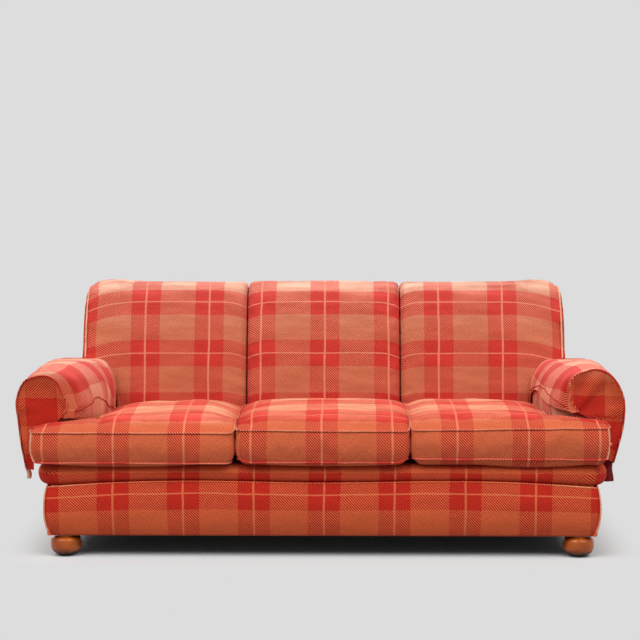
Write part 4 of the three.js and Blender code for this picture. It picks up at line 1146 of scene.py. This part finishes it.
# Cut flat in one piece: the way round the arm by its length, and the panel that folds down in front.
cover_cloth = plaid_cloth("cover_plaid", line_shift=1.0, lines=0.65, unfaded=0.3)
cover_reverse = speckled("cover_reverse", 0.95, 260.0, 4.0, dye(92, 10, 8), dye(138, 24, 18))[0]
panel_plaid = plaid_cloth("cover_panel_plaid", unfaded=1.0, lines=0.0)
tail_cloths = {"left": plaid_cloth("frayed_tail", 1.6), "right": cover_reverse}
stitch_thread, tree, shader = finish_named("stitch_thread", 0.85)
place = put(tree, "ShaderNodeTexCoord").outputs["Object"]
twist = put(tree, "ShaderNodeTexWave", {"Vector": place, "Scale": 90.0, "Distortion": 1.0},
            bands_direction="DIAGONAL").outputs["Fac"]
tree.links.new(blend_of(tree, twist, dye(150, 26, 26), dye(206, 54, 46)), shader.inputs["Base Color"])

cover_rims = {
    "left": [(0.913, 0.468), (0.892, 0.497), (0.895, 0.533), (0.910, 0.563), (0.924, 0.590), (0.943, 0.605),
             (0.970, 0.612), (1.008, 0.606), (1.033, 0.597), (1.055, 0.562), (1.066, 0.505), (1.055, 0.410),
             (1.045, 0.350), (1.035, 0.300), (1.031, 0.287)],
    "right": [(0.888, 0.487), (0.868, 0.520), (0.858, 0.565), (0.870, 0.606), (0.900, 0.628), (0.952, 0.639),
              (0.998, 0.620), (1.028, 0.582), (1.045, 0.540), (1.050, 0.493), (1.045, 0.450), (1.037, 0.412),
              (1.027, 0.369), (1.013, 0.316)],
}
cover_feet = {
    "left": [(0.913, 0.467), (0.950, 0.425), (0.985, 0.395), (1.006, 0.355), (1.009, 0.281)],
    "right": [(0.888, 0.486), (0.938, 0.462), (0.977, 0.440), (0.991, 0.390), (0.999, 0.318)],
}
hem_lines = {
    "left": [(-0.297, 0.468), (-0.20, 0.456), (-0.10, 0.440), (0.03, 0.425), (0.215, 0.405)],
    "right": [(-0.297, 0.488), (-0.25, 0.494), (-0.20, 0.503), (-0.15, 0.520), (-0.05, 0.530), (0.05, 0.522),
              (0.18, 0.493), (0.215, 0.485)],
}
stitch_gaps = {"left": [(-0.297, 0.028), (-0.237, 0.053), (-0.20, 0.073), (-0.167, 0.063), (-0.034, 0.042),
                        (0.11, 0.026), (0.215, 0.021)],
               "right": [(-0.297, 0.016), (-0.26, 0.028), (-0.18, 0.035), (-0.07, 0.022), (0.05, 0.010),
                         (0.215, 0.008)]}
outer_taper = {"left": 0.031, "right": 0.042}
rear_short = {"left": 0.045, "right": 0.0}
weft_starts = {"left": 0.247, "right": 0.227}
panel_sink = {"left": 0.012, "right": 0.018}
panel_folds = {"left": (5, 0.017), "right": (6, 0.027)}
panel_marks = {"left": (0.980, 0.484), "right": (0.930, 0.495)}
tails = {"left": (1.0326, 0.325, 0.2475, 0.019), "right": (1.000, 0.350, 0.241, 0.040)}
AROUND, ALONG, NOSE, PANEL = 84, 36, 10, 14


def height_on(line, y):
    for (a, low), (b, high) in zip(line, line[1:]):
        if y <= b:
            return low + (high - low) * ramp(y, a, b)
    return line[-1][1]


for side, sign in (("left", -1), ("right", 1)):
    def inner_hem(y):
        return height_on(hem_lines[side], y) + 0.002 * math.sin(37 * y + sign)

    def outer_hem(y):
        return 0.314 + 0.006 * math.sin(23 * y + 2 * sign) + wander(sign, y, 0.0, 0.06, 0.006)

    def sleeve_ring(y):
        inner = arm_inner(y)
        ring = [p for p in arm_outline(COVER_EASE, inner, inner_hem(y), arm_outs[side])
                if p[1] >= ROLL_MID or p[0] < 0.9]
        ring = [p for p in ring if not (p[0] <= inner and p[1] < inner_hem(y) - 1e-6)]
        low = outer_hem(y)
        fall = [(arm_outs[side] + COVER_EASE - outer_taper[side] * ((ROLL_MID - z) / 0.215) ** 1.15, z)
                for z in spread(ROLL_MID, low, 0.02)[1:]]
        return evenly([(x, worn_top(y, z)) for x, z in ring] + fall, AROUND)

    sleeve, length_around = [], 0.0
    for row in range(ALONG + 1):
        y = COVER_REAR + (COVER_BEND - COVER_REAR) * row / ALONG
        ring, length_around = sleeve_ring(y)
        short = rear_short[side] * (1 - row / ALONG)
        sleeve.append([(x, y - (short * (1 - ramp(z, 0.50, 0.61)) if x < ARM_TOP_X else 0.0), z)
                       for x, z in ring])
    rim, _ = evenly(curve_through(cover_rims[side], 8), AROUND)
    foot_line, _ = evenly(curve_through(cover_feet[side], 8), AROUND)
    last = sleeve[-1]
    for row in range(1, NOSE + 1):
        turn = math.pi / 2 * row / NOSE
        sleeve.append([(a[0] + (b[0] - a[0]) * (1 - math.cos(turn)),
                        COVER_BEND + (COVER_FRONT - COVER_BEND) * math.sin(turn),
                        a[2] + (b[1] - a[2]) * (1 - math.cos(turn))) for a, b in zip(last, rim)])
    depth_run = [0.0]
    for a, b in zip(sleeve, sleeve[1:]):
        depth_run.append(depth_run[-1] + math.dist(a[AROUND // 3], b[AROUND // 3]))

    def loosened(x, y, z, share):
        slack = 0.0030 * noise.noise(Vector((x * 9, y * 12, z * 9 + 3 * sign))) * (1 - ramp(y, 0.08, 0.17))
        near = math.dist((x, y, z), (0.880, -0.285, 0.490))
        gather = 0.0055 * math.exp(-near / 0.07) * math.sin(9 * math.atan2(z - 0.47, 0.90 - x) + 14 * y)
        hang = 0.006 * max(0.0, (share - 0.72) / 0.28) * math.sin(26 * y + 2.5 * sign)
        reach = math.hypot(x - ARM_TOP_X, z - 0.52) or 1.0
        out = max(-0.004, slack + gather) + hang
        return (sign * (x + out * (x - ARM_TOP_X) / reach), y, z + out * (z - 0.52) / reach)

    def sleeve_at(u, v):
        i, j = round(u * AROUND), round(v * (ALONG + NOSE))
        return loosened(*sleeve[j][i], i / AROUND)

    def sleeve_cloth(u, v):
        i, j = round(u * AROUND), round(v * (ALONG + NOSE))
        y = sleeve[j][0][1]
        skew = 0.085 * ramp(y, -0.12, 0.08) - 0.012 if sign < 0 else 0.0
        return (length_around * i / AROUND + inner_hem(y) - 0.470 - 0.145 + skew,
                1.12 * (COVER_REAR + 0.023 - depth_run[j] + weft_starts[side]))

    def panel_spot(u, v):
        i, share = round(u * AROUND), round(v * PANEL) / PANEL
        x, z = (a + (b - a) * share for a, b in zip(rim[i], foot_line[i]))
        return i / AROUND, share, x, z

    def panel_at(u, v):
        around, share, x, z = panel_spot(u, v)
        if share == 0:
            return loosened(x, COVER_FRONT, z, around)
        hollow = panel_sink[side] * math.sin(math.pi / 2 * min(1.0, share * 2.2))
        hollow *= 1 - max(0.0, (around - 0.70) / 0.30)
        lobes, deep = panel_folds[side]
        ray = math.atan2(z - 0.463, x - 0.880)
        fold = -deep * max(0.0, math.sin(lobes * ray + 1.2)) * math.sin(math.pi * share) * ramp(z, 0.47, 0.52)
        return (sign * x, COVER_FRONT + 0.0015 + hollow + fold * (1 - share), z)

    def panel_cloth(u, v):
        _, _, x, z = panel_spot(u, v)
        across, up = panel_marks[side] if sign < 0 or z > 0.468 else (1.012, 0.405)
        return ((x - across) * -sign, z - up)

    body = woven("cover_sleeve", AROUND, ALONG + NOSE, sleeve_at, sleeve_cloth)
    panel = woven("cover_panel", AROUND, PANEL, panel_at, panel_cloth)
    tail_x, tail_top, tail_end, tail_width = tails[side]

    def tail_at(u, v):
        z = tail_top + (tail_end - tail_top) * v
        x = tail_x + (u - 0.5) * tail_width * (1 - 0.15 * v) + 0.004 * math.sin(7 * v + sign)
        return (sign * x, -0.262 - 0.010 * math.sin(2.4 * v) + 0.004 * math.sin(5 * u + 3 * v), z)

    tail = woven("cover_tail", 8, 16, tail_at, lambda u, v: (u * tail_width + 0.06, v * 0.08 + 0.03))
    for part, finish in ((body, 0), (panel, 3), (tail, 2)):
        for material in (cover_cloth, cover_reverse, tail_cloths[side], panel_plaid, cover_reverse):
            part.data.materials.append(material)
        part.data.polygons.foreach_set("material_index", [finish] * len(part.data.polygons))
    cover = sewn(f"arm_cover_{side}_sleeve", body, panel, tail)
    facing(cover, (sign, -0.3, 1))
    backed(cover, 0.0026, reverse=1)
    softened(cover, 70)
    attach(cover, "root")
    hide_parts(f"arm_cover_{side}")
    # Paints the nose roll and the top of each sleeve paler: partly faded cloth, partly a painted highlight.
    set_fade_and_light(cover.data, lambda x, y, z: 1.4 * ramp(y, -0.285, -0.255) * ramp(z, 0.44, 0.50)
         + 2.8 * ramp(z, worn_top(y, 0.66) - 0.075, worn_top(y, 0.66) - 0.006))

    rim_line = [loosened(x, COVER_FRONT - 0.0012, z, i / AROUND) for i, (x, z) in enumerate(rim)]
    piped(f"cover_seam_{side}", rim_line, 0.0026, cover_cloth)
    stitch = []
    for row in range(2, ALONG + NOSE - 1):
        goal = sleeve[row][0][2] + height_on(stitch_gaps[side], sleeve[row][0][1])
        spot = next(i for i, (x, y, z) in enumerate(sleeve[row]) if z >= goal)
        (x0, y, z0), (x1, _, z1) = sleeve[row][max(0, spot - 1)], sleeve[row][max(1, spot)]
        share = (goal - z0) / (z1 - z0)
        here = loosened(x0 + (x1 - x0) * share, y, goal, spot / AROUND)
        stitch.append((here[0] - sign * 0.0014, here[1], here[2]))
    piped(f"cover_stitch_{side}", stitch, 0.0016, stitch_thread)


# Studio: a pale paper floor that runs on into the background and keeps the shadow under the sofa.
# Two broad lights stand in front on either side, a weak one behind, and the camera where it stood.
PAPER, PAPER_BOUNCE, WORLD_LIGHT = 0.723, 0.34, 0.24


def seen_directly(tree):
    path = put(tree, "ShaderNodeLightPath").outputs
    mirrored = sum_of(tree, "MAXIMUM", path["Is Glossy Ray"], path["Is Transmission Ray"])
    return sum_of(tree, "MAXIMUM", path["Is Camera Ray"], mirrored)


floor_paper, tree, shader = finish_named("studio_floor", 0.9)
shader.inputs["Specular IOR Level"].default_value = 0.0
shown = seen_directly(tree)
bounced = (PAPER_BOUNCE, PAPER_BOUNCE, PAPER_BOUNCE, 1.0)
tree.links.new(blend_of(tree, shown, bounced, (0.635, 0.640, 0.643, 1.0)), shader.inputs["Base Color"])
place = put(tree, "ShaderNodeTexCoord").outputs["Object"]
away = put(tree, "ShaderNodeVectorMath", {0: place}, operation="ABSOLUTE").outputs[0]
away = put(tree, "ShaderNodeVectorMath", {0: away, 1: (0.91, 0.38, 0.0)}, operation="SUBTRACT").outputs[0]
away = put(tree, "ShaderNodeVectorMath", {0: away, 1: (0.0, 0.0, 0.0)}, operation="MAXIMUM").outputs[0]
away = put(tree, "ShaderNodeVectorMath", {0: away}, operation="LENGTH").outputs["Value"]
clear = put(tree, "ShaderNodeMapRange", {"Value": away, "From Min": 0.0, "From Max": 0.22},
            interpolation_type="SMOOTHSTEP").outputs[0]
paper = put(tree, "ShaderNodeEmission", {"Color": (1, 1, 1, 1), "Strength": PAPER}).outputs[0]
surface = put(tree, "ShaderNodeMixShader", {0: sum_of(tree, "MULTIPLY", clear, shown),
              1: shader.outputs[0], 2: paper})
tree.links.new(surface.outputs[0], tree.nodes["Material Output"].inputs["Surface"])
bpy.ops.object.select_all(action="DESELECT")
bpy.ops.mesh.primitive_plane_add(size=120)
floor = bpy.context.object
floor.name = "studio_floor"
floor.data.materials.append(floor_paper)

world = bpy.data.worlds.new("studio")
bpy.context.scene.world = world
world.use_nodes = True
tree = world.node_tree
background = tree.nodes["Background"]
background.inputs["Color"].default_value = (1, 1, 1, 1)
level = put(tree, "ShaderNodeMapRange", {"Value": seen_directly(tree), "To Min": WORLD_LIGHT,
            "To Max": PAPER})
tree.links.new(level.outputs[0], background.inputs["Strength"])

for name, strength, width, turn in (("left", 1.92, 42, (38, 0, -48)), ("right", 1.76, 42, (38, 0, 48)),
                                    ("rear", 0.75, 60, (-66, 0, 12))):
    bpy.ops.object.light_add(type="SUN")
    lamp = bpy.context.object
    lamp.name = f"studio_{name}"
    lamp.data.energy = strength
    lamp.data.angle = math.radians(width)
    lamp.rotation_euler = [math.radians(a) for a in turn]

CAMERA_SPOT, CAMERA_DIP, CAMERA_TURN = (0.0555, -6.025, 1.3288), 0.0903, 0.0110
FOCAL_PIXELS, PICTURE_PIXELS, SENSOR = 1662.0, 640, 36
bpy.ops.object.camera_add(location=CAMERA_SPOT, rotation=(math.pi / 2 - CAMERA_DIP, 0, CAMERA_TURN))
camera = bpy.context.object
camera.data.lens = FOCAL_PIXELS * SENSOR / PICTURE_PIXELS
camera.data.sensor_width = SENSOR
bpy.context.scene.camera = camera
bpy.context.scene.view_settings.view_transform = "Standard"
